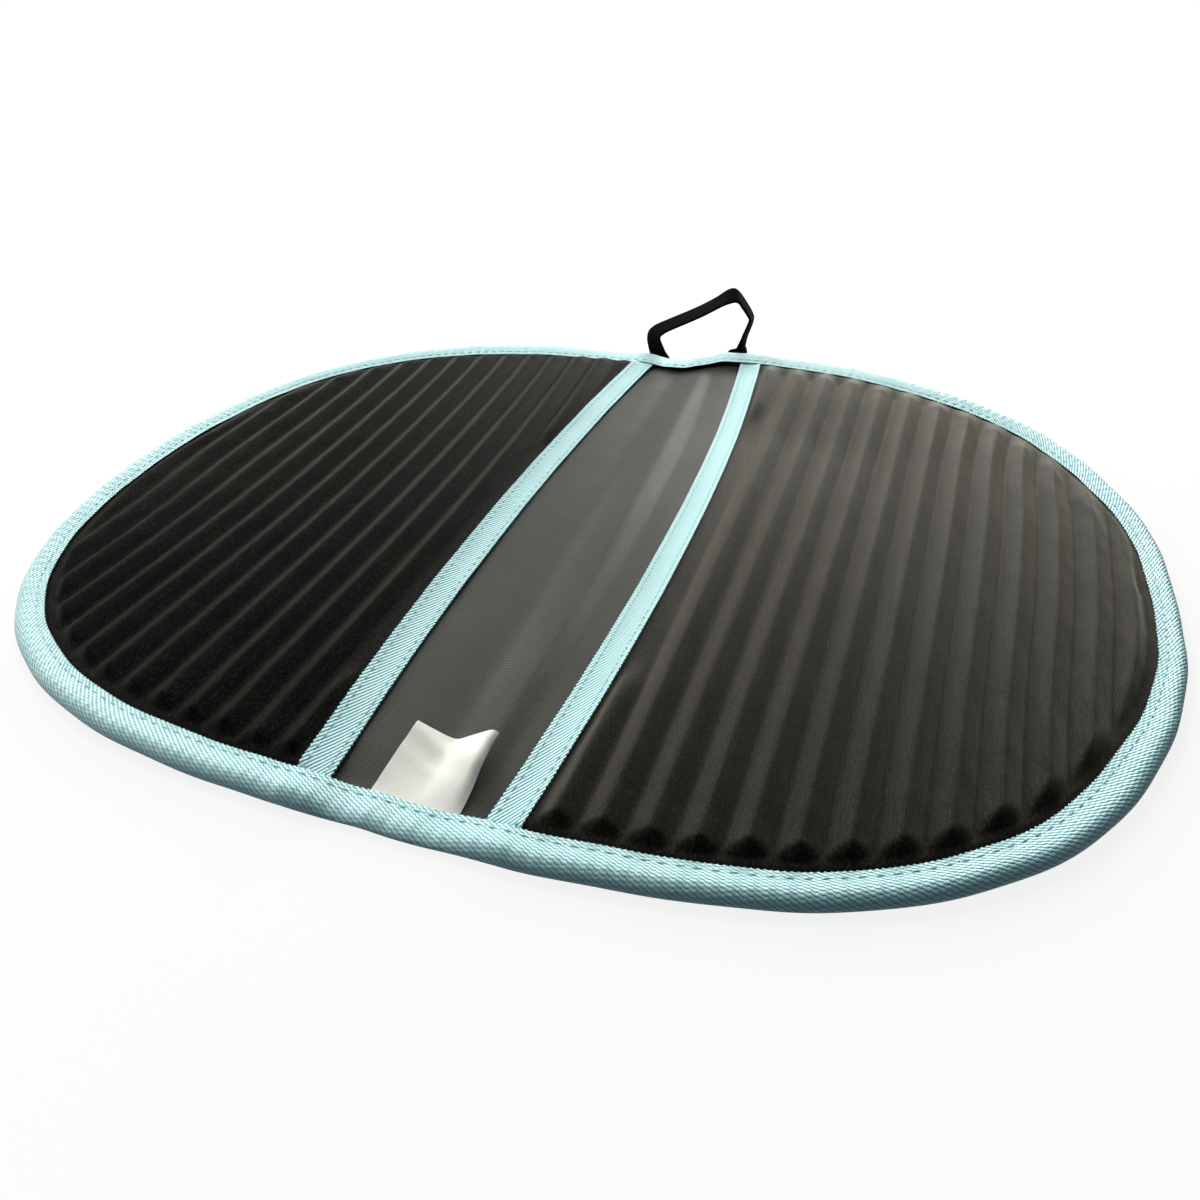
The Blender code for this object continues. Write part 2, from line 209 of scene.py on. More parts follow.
def grid_corners(rows: int, columns: int, ring: bool = False, tube: bool = False) -> Array:
    """Corners of the quads of a grid.

    Args:
        rows: rows of points.
        columns: columns of points.
        ring: the last row joins the first.
        tube: the last column joins the first.

    Returns:
        (faces, 4, 2) array of (row, column), which runs on past the last one where the grid is joined.
    """
    row, column = np.meshgrid(
        np.arange(rows if ring else rows - 1), np.arange(columns if tube else columns - 1), indexing="ij"
    )
    around = [(row, column), (row, column + 1), (row + 1, column + 1), (row + 1, column)]
    return np.stack([np.stack(corner, axis=-1) for corner in around], axis=-2).reshape(-1, 4, 2)


def mesh_object(name: str, points: Array, faces: list, finish: bpy.types.Material, cloth: Array | None = None,
                sharp: float = 50.0) -> bpy.types.Object:
    """Adds a smooth-shaded mesh to the scene.

    Args:
        name: the piece's name.
        points: array of points whose last axis is x, y, z.
        faces: lists of point numbers.
        finish: the piece's material.
        cloth: (corners, 2) array of each face corner's place on the flat cloth, in millimetres.
        sharp: edges that turn more than this many degrees stay sharp.

    Returns:
        The new object.
    """
    mesh = bpy.data.meshes.new(name)
    mesh.from_pydata(points.reshape(-1, 3).tolist(), [], faces)
    if cloth is not None:
        layer = mesh.uv_layers.new(name=CLOTH_MAP)
        layer.data.foreach_set("uv", np.asarray(cloth, np.float32).ravel())
    work = bmesh.new()
    work.from_mesh(mesh)
    bmesh.ops.recalc_face_normals(work, faces=work.faces[:])
    work.to_mesh(mesh)
    work.free()
    mesh.shade_smooth()
    mesh.set_sharp_from_angle(angle=math.radians(sharp))
    mesh.materials.append(finish)
    made = bpy.data.objects.new(name, mesh)
    bpy.context.scene.collection.objects.link(made)
    return made


def sheet_object(name: str, top: Array, bottom: Array, cloth: Array,
                 finish: bpy.types.Material) -> bpy.types.Object:
    """Adds a closed sheet between two grids of points.

    Args:
        name: the piece's name.
        top: (rows, columns, 3) array of points of the upper face.
        bottom: the same of the lower face.
        cloth: (rows, columns, 2) array of places on the flat cloth, in millimetres.
        finish: the piece's material.

    Returns:
        The new object.
    """
    rows, columns = top.shape[:2]
    corners = grid_corners(rows, columns)
    upper = corners[..., 0] * columns + corners[..., 1]
    lower = upper[:, ::-1] + rows * columns
    numbers = np.arange(rows * columns).reshape(rows, columns)
    rim = np.r_[numbers[0, :-1], numbers[:-1, -1], numbers[-1, :0:-1], numbers[:0:-1, 0]]
    after = np.roll(rim, -1)
    wall = np.stack([after, rim, rim + rows * columns, after + rows * columns], axis=1)
    faces = np.vstack([upper, lower, wall])
    places = cloth.reshape(-1, 2)[faces % (rows * columns)]
    return mesh_object(name, np.stack([top, bottom]), faces.tolist(), finish, places.reshape(-1, 2))


def tube_object(name: str, rings: Array, cloth: Array, finish: bpy.types.Material, closed: bool = False,
                sharp: float = 50.0) -> bpy.types.Object:
    """Adds a skin through cross-sections, capped at its ends unless it closes on itself.

    Args:
        name: the piece's name.
        rings: (sections, points, 3) array.
        cloth: (sections + 1, points + 1, 2) array of places on the flat cloth, in millimetres.
        finish: the piece's material.
        closed: the last section joins the first.
        sharp: edges that turn more than this many degrees stay sharp.

    Returns:
        The new object.
    """
    sections, size = rings.shape[:2]
    corners = grid_corners(sections, size, ring=closed, tube=True)
    faces = ((corners[..., 0] % sections) * size + corners[..., 1] % size).tolist()
    places = cloth[corners[..., 0], corners[..., 1]].reshape(-1, 2)
    if not closed:
        faces += [list(range(size)), list(range((sections - 1) * size, sections * size))]
        places = np.vstack([places, cloth[0, :size], cloth[sections - 1, :size]])
    return mesh_object(name, rings, faces, finish, places, sharp)


# The shape that all the pieces share


@dataclass(frozen=True)
class MatForm:
    """Plan and heights of the mat, in metres."""

    width: float = 0.400
    depth: float = 0.340
    power: float = 2.7
    binding_width: float = 0.010
    binding_height: float = 0.0052
    binding_seam_height: float = 0.0046
    binding_fold_height: float = 0.0034
    tape_width: float = 0.010
    tape_on_pad: float = 0.006
    tape_offset: float = 0.032
    tape_bow: float = 0.0075
    pad_edge_top: float = 0.0034
    pad_seam_top: float = 0.0018
    pad_rim_drop: float = 0.0010
    cloth_thickness: float = 0.0006
    fold_bend: float = 0.016
    back_dip: float = 0.0030
    back_lift: float = 0.0052
    corner_lift: float = 0.0016
    dip_place: float = -0.011
    dip_spread: float = 0.013
    # Degrees round from the right end, millimetres that the edge lies further out, and the binding's width.
    edge_round: tuple[tuple[float, float, float], ...] = (
        (0, 1.5, 7.8), (18, 0.6, 8.6), (27, -1.6, 9.2), (33, -1.4, 9.8), (44, 1.1, 10.8),
        (60, 0.2, 12.0), (88, 0.0, 11.4), (97, 0.0, 11.8), (125, 0.0, 11.4), (150, 0.0, 9.6),
        (166, 2.5, 9.2), (180, 4.4, 9.4), (192, 2.2, 9.0), (200, 0.0, 8.6), (212, -1.2, 8.6),
        (235, 0.0, 10.2), (250, -1.2, 11.7), (262, -2.0, 12.0), (274, -1.0, 11.5), (286, -0.6, 11.0),
        (300, 0.3, 9.9), (318, -0.6, 10.1), (328, -1.5, 10.7), (340, -0.6, 9.0), (350, 1.0, 8.0),
        (360, 1.5, 7.8),
    )

    def edge_value(self, x: Array, y: Array, column: EdgeColumn) -> Array:
        """Reads edge_round smoothly, by the direction of a place from the middle of the mat.

        Args:
            x: places across the fold.
            y: places along it.
            column: what to read.

        Returns:
            The value at each place, in metres.
        """
        turn = np.degrees(np.arctan2(y / self.depth, x / self.width)) % 360
        table = np.array(self.edge_round)
        knots, values = table[:, 0], table[:, column.value]
        slopes = np.gradient(values, knots)
        slopes[[0, -1]] = (values[1] - values[-2]) / (knots[1] - knots[-2] + 360)
        span = np.clip(np.searchsorted(knots, turn, side="right") - 1, 0, len(table) - 2)
        gap = knots[span + 1] - knots[span]
        share = (turn - knots[span]) / gap
        rest = 1 - share
        line = values[span] * rest**2 * (1 + 2 * share) + values[span + 1] * share**2 * (1 + 2 * rest)
        return (line + gap * share * rest * (slopes[span] * rest - slopes[span + 1] * share)) * MM

    def half_depth(self, x: Array | float, inset: float = 0.0) -> Array:
        """Half the depth of the oval at x.

        Args:
            x: distance from the fold line.
            inset: how far the oval is drawn in.

        Returns:
            Distance from the middle to the drawn-in edge, along y.
        """
        share = np.clip(np.abs(x) / (self.width / 2 - inset), 0, 1)
        return (self.depth / 2 - inset) * (1 - share**self.power) ** (1 / self.power)

    def edge_distance(self, x: Array, y: Array) -> Array:
        """Distance from the outer edge inwards.

        Args:
            x: places across the fold.
            y: places along the fold.

        Returns:
            The distance of each place.
        """
        u, v = np.abs(x) / (self.width / 2), np.abs(y) / (self.depth / 2)
        gauge = np.maximum((u**self.power + v**self.power) ** (1 / self.power), 1e-6)
        across = u ** (self.power - 1) / (self.width / 2)
        along = v ** (self.power - 1) / (self.depth / 2)
        return (1 - gauge) / (gauge ** (1 - self.power) * np.hypot(across, along) + 1e-9)

    def edge(self, count: int) -> tuple[Array, Array, float]:
        """The outer edge, counter-clockwise from the right end.

        Args:
            count: number of points wanted.

        Returns:
            (points, outward normals, length round the edge). The points are evenly spaced.
        """
        turn = np.linspace(0, 2 * math.pi, 40001)
        cosine, sine = np.cos(turn), np.sin(turn)
        x = self.width / 2 * signed_power(cosine, 2 / self.power)
        y = self.depth / 2 * signed_power(sine, 2 / self.power)
        line = np.stack([x, y], axis=1)
        length = float(np.linalg.norm(np.diff(line, axis=0), axis=1).sum())
        points = even_steps(line, count + 1)[:-1]
        u, v = points[:, 0] / (self.width / 2), points[:, 1] / (self.depth / 2)
        across = signed_power(u, self.power - 1) / self.width
        along = signed_power(v, self.power - 1) / self.depth
        return points, unit(np.stack([across, along], axis=1)), length

    def tape_outer(self, y: Array) -> Array:
        """Distance of a seam tape's outer edge from the fold line at y."""
        return self.tape_offset + self.tape_bow * (1 - (y / (self.depth / 2)) ** 2)

    def binding_top(self, x: Array, y: Array) -> Array:
        """Height of the binding: thick round a pad, thin across the fold, raised over the ends of the tapes.

        Args:
            x: places across the fold.
            y: places along it.

        Returns:
            The height above the ground at each place of the edge.
        """
        inner = self.tape_offset - self.tape_on_pad
        around = smooth((np.abs(x) - inner) / self.tape_on_pad)
        seam = self.binding_seam_height + (self.binding_height - self.binding_seam_height) * around
        back = 0.62 + 0.38 * smooth((np.abs(x - self.dip_place) - 0.003) / 0.018)
        front = smooth((np.abs(x) - inner + 0.010) / 0.010)
        beside = np.where(y > 0, back, front)
        fold = self.binding_fold_height + (self.binding_seam_height - self.binding_fold_height) * beside
        low = 0.0012 * bump(x, -0.045, 0.025) * (y > 0)
        return np.where(np.abs(x) >= inner, seam, fold) + 0.0007 * bump(np.abs(x), 0.0275, 0.006) - low

    def pad_flat(self, x: Array, y: Array) -> Array:
        """Top of a pad with no ribs: pressed thin under the seam tape and a little under the binding.

        Args:
            x: places across the fold.
            y: places along it.

        Returns:
            The height above the ground at each place.
        """
        seam = np.clip((np.abs(x) - self.tape_outer(y) + self.tape_on_pad) / self.tape_on_pad, 0, 1)
        edge = smooth((self.edge_distance(x, y) - self.edge_value(x, y, EdgeColumn.WIDTH) + 0.0015) / 0.0040)
        thick = self.pad_seam_top + (self.pad_edge_top - self.pad_seam_top) * seam
        return thick - self.pad_rim_drop * (1 - edge) * seam

    def settle(self, points: Array) -> Array:
        """Lets the soft mat settle as it lies.

        The back edge sinks inwards at the fold and rises off the ground to the right of it, the front left
        corner rises a little, and the edge wanders off the plain oval.

        Args:
            points: array of points whose last axis is x, y, z.

        Returns:
            The moved points.
        """
        moved = np.array(points, float)
        x, y = moved[..., 0], moved[..., 1]
        sunk = bump(x, self.dip_place, self.dip_spread) * smooth((y - 0.136) / 0.030)
        inwards = self.edge_distance(x, y)
        at_edge = 1 - smooth((inwards - 0.009) / 0.014)
        broad = 1 - smooth((inwards - 0.012) / 0.085)
        near = 0.25 * at_edge + 0.75 * broad
        raised = smooth((x + 0.010) / 0.032) * (1 - smooth((x - 0.070) / 0.100)) * near * smooth(y / 0.05)
        corner = smooth(-y / 0.170) * smooth((-x - 0.032) / 0.120)
        moved[..., 2] += self.back_lift * raised + self.corner_lift * corner
        moved[..., 1] -= self.back_dip * sunk
        away = np.hypot(x, y)
        further = self.edge_value(x, y, EdgeColumn.OUTWARDS) * smooth(1.0 - inwards / 0.080)
        outwards = further / np.maximum(away, 1e-6)
        moved[..., :2] += points[..., :2] * outwards[..., None]
        return moved


FORM = MatForm()


# Finishes


def linear(code: str) -> tuple[float, float, float, float]:
    """Turns an sRGB hex colour into linear light.

    Args:
        code: a colour such as "#a0b0c0".

    Returns:
        Red, green, blue and an alpha of 1.
    """
    parts = [int(code[k : k + 2], 16) / 255 for k in (1, 3, 5)]
    red, green, blue = (p / 12.92 if p <= 0.04045 else ((p + 0.055) / 1.055) ** 2.4 for p in parts)
    return red, green, blue, 1.0


def add_node(tree: bpy.types.NodeTree, kind: str, inputs: dict | None = None,
             **settings: Any) -> bpy.types.Node:
    """Adds a node with its settings and links.

    Args:
        tree: the node tree.
        kind: the node's type.
        inputs: input name or number to a value, or to the output socket that feeds it.
        **settings: the node's own properties.

    Returns:
        The new node.
    """
    node = tree.nodes.new(kind)
    for name, value in settings.items():
        setattr(node, name, value)
    for key, value in (inputs or {}).items():
        socket = node.inputs[key]
        if isinstance(value, bpy.types.NodeSocket):
            tree.links.new(value, socket)
        else:
            socket.default_value = value
    return node


class Recipe:
    """A material's node tree while it is put together."""

    def __init__(self, name: str) -> None:
        """Starts an empty material of that name."""
        self.material = bpy.data.materials.new(name)
        self.material.use_nodes = True
        self.tree = self.material.node_tree
        self.tree.nodes.clear()

    def add(self, kind: str, inputs: dict | None = None, **settings: Any) -> bpy.types.Node:
        """Adds a node to this material, as add_node does."""
        return add_node(self.tree, kind, inputs, **settings)

    def sum(self, operation: str, *values: Any) -> bpy.types.NodeSocket:
        """One step of arithmetic.

        Args:
            operation: the Math node's operation.
            *values: numbers or sockets.

        Returns:
            The result's socket.
        """
        return self.add("ShaderNodeMath", dict(enumerate(values)), operation=operation).outputs[0]

    def mix(self, share: Any, first: Any, second: Any) -> bpy.types.NodeSocket:
        """Blends two colours.

        Args:
            share: 0 for the first and 1 for the second.
            first: a colour or a socket.
            second: a colour or a socket.

        Returns:
            The blended colour's socket.
        """
        node = self.add("ShaderNodeMix", {0: share, 6: first, 7: second}, data_type="RGBA")
        return node.outputs[2]

    def noise(self, place: Any, size_mm: float, detail: float = 2.0,
              roughness: float = 0.5) -> bpy.types.NodeSocket:
        """Cloudy variation.

        Args:
            place: socket of the place, in millimetres.
            size_mm: size of one cloud.
            detail: how many finer layers it has.
            roughness: how strong they are.

        Returns:
            A socket from 0 to 1.
        """
        inputs = {"Vector": place, "Scale": 1.0 / size_mm, "Detail": detail, "Roughness": roughness}
        return self.add("ShaderNodeTexNoise", inputs).outputs["Fac"]

    def wave(self, place: Any, pitch_mm: float) -> bpy.types.NodeSocket:
        """Round ridges with narrow valleys.

        Args:
            place: socket of the distance across the ridges, in millimetres.
            pitch_mm: distance from one ridge to the next.

        Returns:
            A socket from 0 in the valleys to 1 on the ridges.
        """
        return self.sum("ABSOLUTE", self.sum("SINE", self.sum("MULTIPLY", place, math.pi / pitch_mm)))

    def flat_place(self) -> tuple[bpy.types.NodeSocket, bpy.types.NodeSocket, bpy.types.NodeSocket]:
        """The place on the flat cloth.

        Returns:
            (vector, place along the map's first axis, place along its second), in millimetres.
        """
        place = self.add("ShaderNodeUVMap", uv_map=CLOTH_MAP).outputs["UV"]
        parts = self.add("ShaderNodeSeparateXYZ", {0: place}).outputs
        return place, parts[0], parts[1]

    def finish(self, colour: Any, roughness: Any, height: Any, depth_mm: float,
               **sockets: Any) -> bpy.types.Material:
        """Joins the last nodes.

        Args:
            colour: the base colour or its socket.
            roughness: the roughness or its socket.
            height: socket of the surface's relief, from 0 to 1.
            depth_mm: height of that relief.
            **sockets: other values of the Principled shader, with _ for a space.

        Returns:
            The material.
        """
        relief = self.add("ShaderNodeBump", {"Height": height, "Distance": depth_mm * MM, "Strength": 1.0})
        inputs = {"Base Color": colour, "Roughness": roughness, "Normal": relief.outputs[0]}
        inputs |= {name.replace("_", " "): value for name, value in sockets.items()}
        shader = self.add("ShaderNodeBsdfPrincipled", inputs)
        self.add("ShaderNodeOutputMaterial", {"Surface": shader.outputs[0]})
        return self.material


@dataclass(frozen=True)
class TwillTape:
    """Polyester twill tape, woven: slanting cords with a silky shine and painted shade in the valleys."""

    name: str
    stitch_rows_mm: tuple[float, ...]
    stitch_pitch_mm: float
    slant: float = 1.7
    cord: str = "#c6ecea"
    # Painted shade colour for the valleys between the cords.
    valley_shade: str = "#5ba6b2"
    # Painted shade colour for the needle holes.
    hole_shade: str = "#2a5a66"
    # Coarser than the real cords, which are too fine to show at this picture size.
    cord_pitch_mm: float = 2.1
    yarn_pitch_mm: float = 0.55
    relief_mm: float = 0.26
    roughness: float = 0.5

    def make(self) -> bpy.types.Material:
        """Builds the material.

        Returns:
            The material.
        """
        r = Recipe(self.name)
        place, along, across = r.flat_place()
        wander = r.sum("MULTIPLY", r.sum("SUBTRACT", r.noise(place, 9.0), 0.5), 0.5)
        slanted = r.sum("ADD", r.sum("MULTIPLY_ADD", across, -self.slant, along), wander)
        cord = r.sum("POWER", r.wave(slanted, self.cord_pitch_mm), 0.75)
        yarn = r.wave(along, self.yarn_pitch_mm)
        hole_shade = self.holes(r, along, across)
        fade = r.noise(place, 14.0, 3.0)
        shade = r.sum("MULTIPLY", cord, r.sum("MULTIPLY_ADD", fade, 0.40, 0.95))
        shade = r.add("ShaderNodeClamp", {0: shade}).outputs[0]
        # Painted shade: the valleys between the cords are coloured darker, where shade falls.
        colour = r.mix(shade, linear(self.valley_shade), linear(self.cord))
        # Painted shade in the needle holes: a dark colour where shade falls into them.
        colour = r.mix(r.sum("MULTIPLY", hole_shade, 0.6), colour, linear(self.hole_shade))
        height = r.sum("ADD", r.sum("MULTIPLY", cord, 0.96), r.sum("MULTIPLY", yarn, 0.04))
        # The same mask dents the relief at the holes.
        height = r.sum("SUBTRACT", height, hole_shade)
        return r.finish(colour, self.roughness, height, self.relief_mm, Sheen_Weight=0.12,
                        Sheen_Roughness=0.4, Specular_IOR_Level=0.30)

    def holes(self, r: Recipe, along: Any, across: Any) -> bpy.types.NodeSocket:
        """Needle holes between the stitches, as a mask for their painted shade and their dent.

        Args:
            r: the material.
            along: socket of the place along the tape, in millimetres.
            across: socket of the place across it.

        Returns:
            A socket that is 1 in the holes and 0 elsewhere.
        """
        phase = r.sum("FRACT", r.sum("DIVIDE", along, self.stitch_pitch_mm))
        offset = r.sum("MULTIPLY", r.sum("SUBTRACT", phase, 0.5), self.stitch_pitch_mm)
        from_end = r.sum("SUBTRACT", r.sum("ABSOLUTE", offset), self.stitch_pitch_mm / 2)
        wide = r.sum("POWER", r.sum("ABSOLUTE", r.sum("DIVIDE", from_end, 0.44)), 2.0)
        found: Any = 0.0
        for row in self.stitch_rows_mm:
            aside = r.sum("ABSOLUTE", r.sum("DIVIDE", r.sum("SUBTRACT", across, row), 0.36))
            near = r.sum("SUBTRACT", 1.0, r.sum("ADD", wide, r.sum("POWER", aside, 2.0)))
            found = r.sum("MAXIMUM", found, near)
        return found


@dataclass(frozen=True)
class MouldedKnit:
    """Polyester knit, moulded onto foam: fine wales along the ribs, dull black flecked with lighter fibre.

    Each half has its own copy. The right half's is a painted lit copy, lighter, browner and with strong
    sheen;
    the left half's is a darker, shaded copy.
    """

    name: str
    dark: str
    light: str
    half_sheen: float
    gloss: float
    half_sheen_tint: str = "#b3af9f"
    wale_pitch_mm: float = 0.62
    fleck_mm: float = 0.5
    relief_mm: float = 0.12

    def make(self) -> bpy.types.Material:
        """Builds the material. The wales are drawn a little coarser than they are, so that they show.

        Returns:
            The material.
        """
        r = Recipe(self.name)
        place = r.add("ShaderNodeTexCoord").outputs["Object"]
        spot = r.add("ShaderNodeVectorMath", {0: place, 1: (1000.0,) * 3}, operation="MULTIPLY").outputs[0]
        parts = r.add("ShaderNodeSeparateXYZ", {0: spot}).outputs
        stretched, drawn = (
            r.add("ShaderNodeVectorMath", {0: spot, 1: factors}, operation="MULTIPLY").outputs[0]
            for factors in ((1.0, 0.45, 1.0), (1.0, 0.03, 0.3))
        )
        streak = r.noise(drawn, 1.3, 2.0, 0.6)
        wander = r.sum("MULTIPLY", r.noise(spot, 8.0), 0.6)
        wale = r.wave(r.sum("ADD", parts[0], wander), self.wale_pitch_mm)
        fleck = r.noise(stretched, self.fleck_mm, 2.0, 0.7)
        cloud = r.noise(spot, 22.0, 3.0)
        speck = r.sum("MULTIPLY", r.sum("SUBTRACT", fleck, 0.44), 5.0)
        speck = r.sum("MULTIPLY", speck, r.sum("MULTIPLY_ADD", cloud, 0.5, 0.55))
        speck = r.sum("MULTIPLY", speck, r.sum("MULTIPLY_ADD", streak, 2.4, -0.2))
        shade = r.sum("MULTIPLY", speck, r.sum("MULTIPLY_ADD", wale, 0.5, 0.5))
        share = r.add("ShaderNodeClamp", {0: shade}).outputs[0]
        colour = r.mix(share, linear(self.dark), linear(self.light))
        height = r.sum("ADD", r.sum("MULTIPLY", wale, 0.5), r.sum("MULTIPLY", fleck, 0.5))
        return r.finish(colour, 0.55, height, self.relief_mm, Sheen_Weight=self.half_sheen, Sheen_Roughness=0.4,
                        Sheen_Tint=linear(self.half_sheen_tint), Specular_IOR_Level=self.gloss)


@dataclass(frozen=True)
class OxfordCloth:
    """Polyester oxford cloth, woven: charcoal, with fine lines across the strip and a soft shine along it."""

    name: str = "charcoal_polyester_oxford_woven"
    dark: str = "#0f100e"
    light: str = "#24251f"
    weft_pitch_mm: float = 0.8
    warp_pitch_mm: float = 0.5
    relief_mm: float = 0.07

    def make(self) -> bpy.types.Material:
        """Builds the material. The threads are drawn a little coarser than they are, so that they show.

        Returns:
            The material.
        """
        r = Recipe(self.name)
        place, across, along = r.flat_place()
        wander = r.sum("MULTIPLY", r.noise(place, 12.0), 0.25)
        weft = r.wave(r.sum("ADD", along, wander), self.weft_pitch_mm)
        warp = r.wave(r.sum("ADD", across, wander), self.warp_pitch_mm)
        cloud = r.noise(place, 18.0, 4.0)
        threads = r.sum("MULTIPLY_ADD", weft, 0.75, r.sum("MULTIPLY", warp, 0.05))
        shade = r.sum("MULTIPLY_ADD", cloud, 0.3, threads)
        share = r.add("ShaderNodeClamp", {0: r.sum("SUBTRACT", shade, 0.15)}).outputs[0]
        colour = r.mix(share, linear(self.dark), linear(self.light))
        height = r.sum("ADD", r.sum("MULTIPLY", weft, 0.95), r.sum("MULTIPLY", warp, 0.05))
        rough = r.sum("MULTIPLY_ADD", cloud, 0.12, 0.49)
        return r.finish(colour, rough, height, self.relief_mm, Specular_IOR_Level=0.19,
                        Specular_Tint=linear("#fffdea"))


@dataclass(frozen=True)
class SewingThread:
    """Spun polyester thread, twisted: aqua, with tight slanting plies and a soft shine."""

    name: str = "aqua_polyester_thread_spun"
    ply: str = "#a9d4d8"
    gap: str = "#6fa5ad"
    ply_pitch_mm: float = 0.45

    def make(self) -> bpy.types.Material:
        """Builds the material.

        Returns:
            The material.
        """
        r = Recipe(self.name)
        _, along, across = r.flat_place()
        ply = r.wave(r.sum("ADD", along, across), self.ply_pitch_mm)
        colour = r.mix(ply, linear(self.gap), linear(self.ply))
        return r.finish(colour, 0.5, ply, 0.06, Sheen_Weight=0.2)


@dataclass(frozen=True)
class WovenWebbing:
    """Polypropylene webbing, woven: black ribs across the strap with a dull plastic shine."""

    name: str = "black_polypropylene_webbing_woven"
    rib: str = "#060706"
    gap: str = "#030303"
    rib_pitch_mm: float = 1.1
    warp_pitch_mm: float = 0.9

    def make(self) -> bpy.types.Material:
        """Builds the material.

        Returns:
            The material.
        """
        r = Recipe(self.name)
        place, along, across = r.flat_place()
        shift = r.sum("MULTIPLY", r.wave(across, self.warp_pitch_mm), 0.5)
        rib = r.wave(r.sum("ADD", along, shift), self.rib_pitch_mm)
        warp = r.wave(across, self.warp_pitch_mm)
        shade = r.sum("MULTIPLY", rib, r.sum("MULTIPLY_ADD", r.noise(place, 3.0), 0.6, 0.5))
        colour = r.mix(shade, linear(self.gap), linear(self.rib))
        height = r.sum("ADD", r.sum("MULTIPLY", rib, 0.5), r.sum("MULTIPLY", warp, 0.5))
        return r.finish(colour, 0.9, height, 0.10, Specular_IOR_Level=0.04)


@dataclass(frozen=True)
class LabelSatin:
    """Polyester label satin, woven and heat-cut: creamy white, smooth, with faint threads and creases."""

    name: str = "white_polyester_satin_woven"
    white: str = "#f3f1e7"
    shadow: str = "#e9e6da"
    thread_pitch_mm: float = 0.35

    def make(self) -> bpy.types.Material:
        """Builds the material.

        Returns:
            The material.
        """
        r = Recipe(self.name)
        place, along, across = r.flat_place()
        cloud = r.noise(place, 7.0, 3.0)
        thread = r.wave(across, self.thread_pitch_mm)
        colour = r.mix(r.sum("MULTIPLY", cloud, 0.7), linear(self.white), linear(self.shadow))
        height = r.sum("ADD", r.sum("MULTIPLY", thread, 0.15), r.sum("MULTIPLY", cloud, 0.85))
        return r.finish(colour, 0.75, height, 0.25, Specular_IOR_Level=0.2)


# The pieces


@dataclass
class BaseCloth:
    """The one cloth under both pads, bare in the strip where the mat folds."""

    inset: float = 0.0034
    strip_step: float = 0.0011
    outer_step: float = 0.006
    rows: int = 150
    strip_half: float = 0.0405
    edge_lift: float = 0.0004
    lift_from: float = 0.0095
    lift_run: float = 0.0075
    # Share of the way from the fold line to a tape, millimetres that the slack cloth stands up there.
    folds: tuple[tuple[float, float], ...] = (
        (-1.20, 1.00), (-1.00, 1.00), (-0.60, 0.60), (-0.24, 0.10), (-0.10, 0.25), (0.06, 1.15),
        (0.36, 2.30), (0.48, 1.80), (0.60, 0.45), (0.70, 0.35), (1.00, 1.00), (1.20, 1.00),
    )

    def slack(self, x: Array, y: Array) -> Array:
        """Height of the soft folds that run along the strip.

        Args:
            x: places across the fold.
            y: places along it.

        Returns:
            Height above the flat cloth.
        """
        inner = FORM.tape_outer(y) - FORM.tape_width
        share = np.clip(x / inner, -1, 1)
        drift = -0.0060 * y / 0.170 / inner * (1 - share**2)
        line = catmull(np.array(self.folds), 200)
        folds = np.interp(share - drift, line[:, 0], line[:, 1]) * MM
        folds = folds * (0.88 + 0.24 * ripple(y, 3, (0.21, 0.09)))
        creases = 0.10 * MM * ripple(y + 0.35 * x, 5, (0.011, 0.017, 0.026)) * bump(share, -0.45, 0.4)
        ends = smooth((FORM.edge_distance(x, y) - 0.008) / 0.026)
        under = 1 - smooth((np.abs(x) - inner) / 0.005)
        return (folds + creases) * ends * under

    def build(self) -> bpy.types.Object:
        """Builds the cloth.

        Returns:
            The cloth, which bends at the fold.
        """
        limit = FORM.width / 2 - self.inset
        strip = np.arange(0, self.strip_half, self.strip_step)
        outer = np.linspace(strip[-1], limit, int((limit - strip[-1]) / self.outer_step) + 1)[1:-1]
        rim = limit - (limit - outer[-1]) * np.array([0.6, 0.35, 0.15, 0.05, 0.008])
        positive = np.r_[strip, outer, rim]
        columns = np.r_[-positive[:0:-1], positive]
        share = np.sin(np.linspace(-1, 1, self.rows) * math.pi / 2)[:, None]
        x = np.broadcast_to(columns, (self.rows, len(columns)))
        y = share * FORM.half_depth(columns, self.inset)
        inwards = FORM.edge_distance(x, y)
        lift = self.edge_lift * (1 - smooth((inwards - self.lift_from) / self.lift_run))
        low = lift + self.slack(x, y)
        bottom = FORM.settle(np.stack([x, y, low], axis=-1))
        top = bottom + [0, 0, FORM.cloth_thickness]
        return sheet_object("base_cloth", top, bottom, np.stack([x, y], axis=-1) / MM, OxfordCloth().make())

    def dress(self, cloth: bpy.types.Object, trim: list[bpy.types.Object]) -> None:
        """Hides the imported cloth parts and bakes the cloth's transform into its mesh.

        Args:
            cloth: the cloth.
            trim: the tapes and stitches sewn to it; not used.
        """
        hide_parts("left_base_cloth", "right_base_cloth", "fold_cloth")
        bend_at_fold(cloth)


def bend_at_fold(piece: bpy.types.Object) -> None:
    """Bakes the transform of a piece that crosses the fold into its mesh; no half carries it."""
    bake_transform(piece)


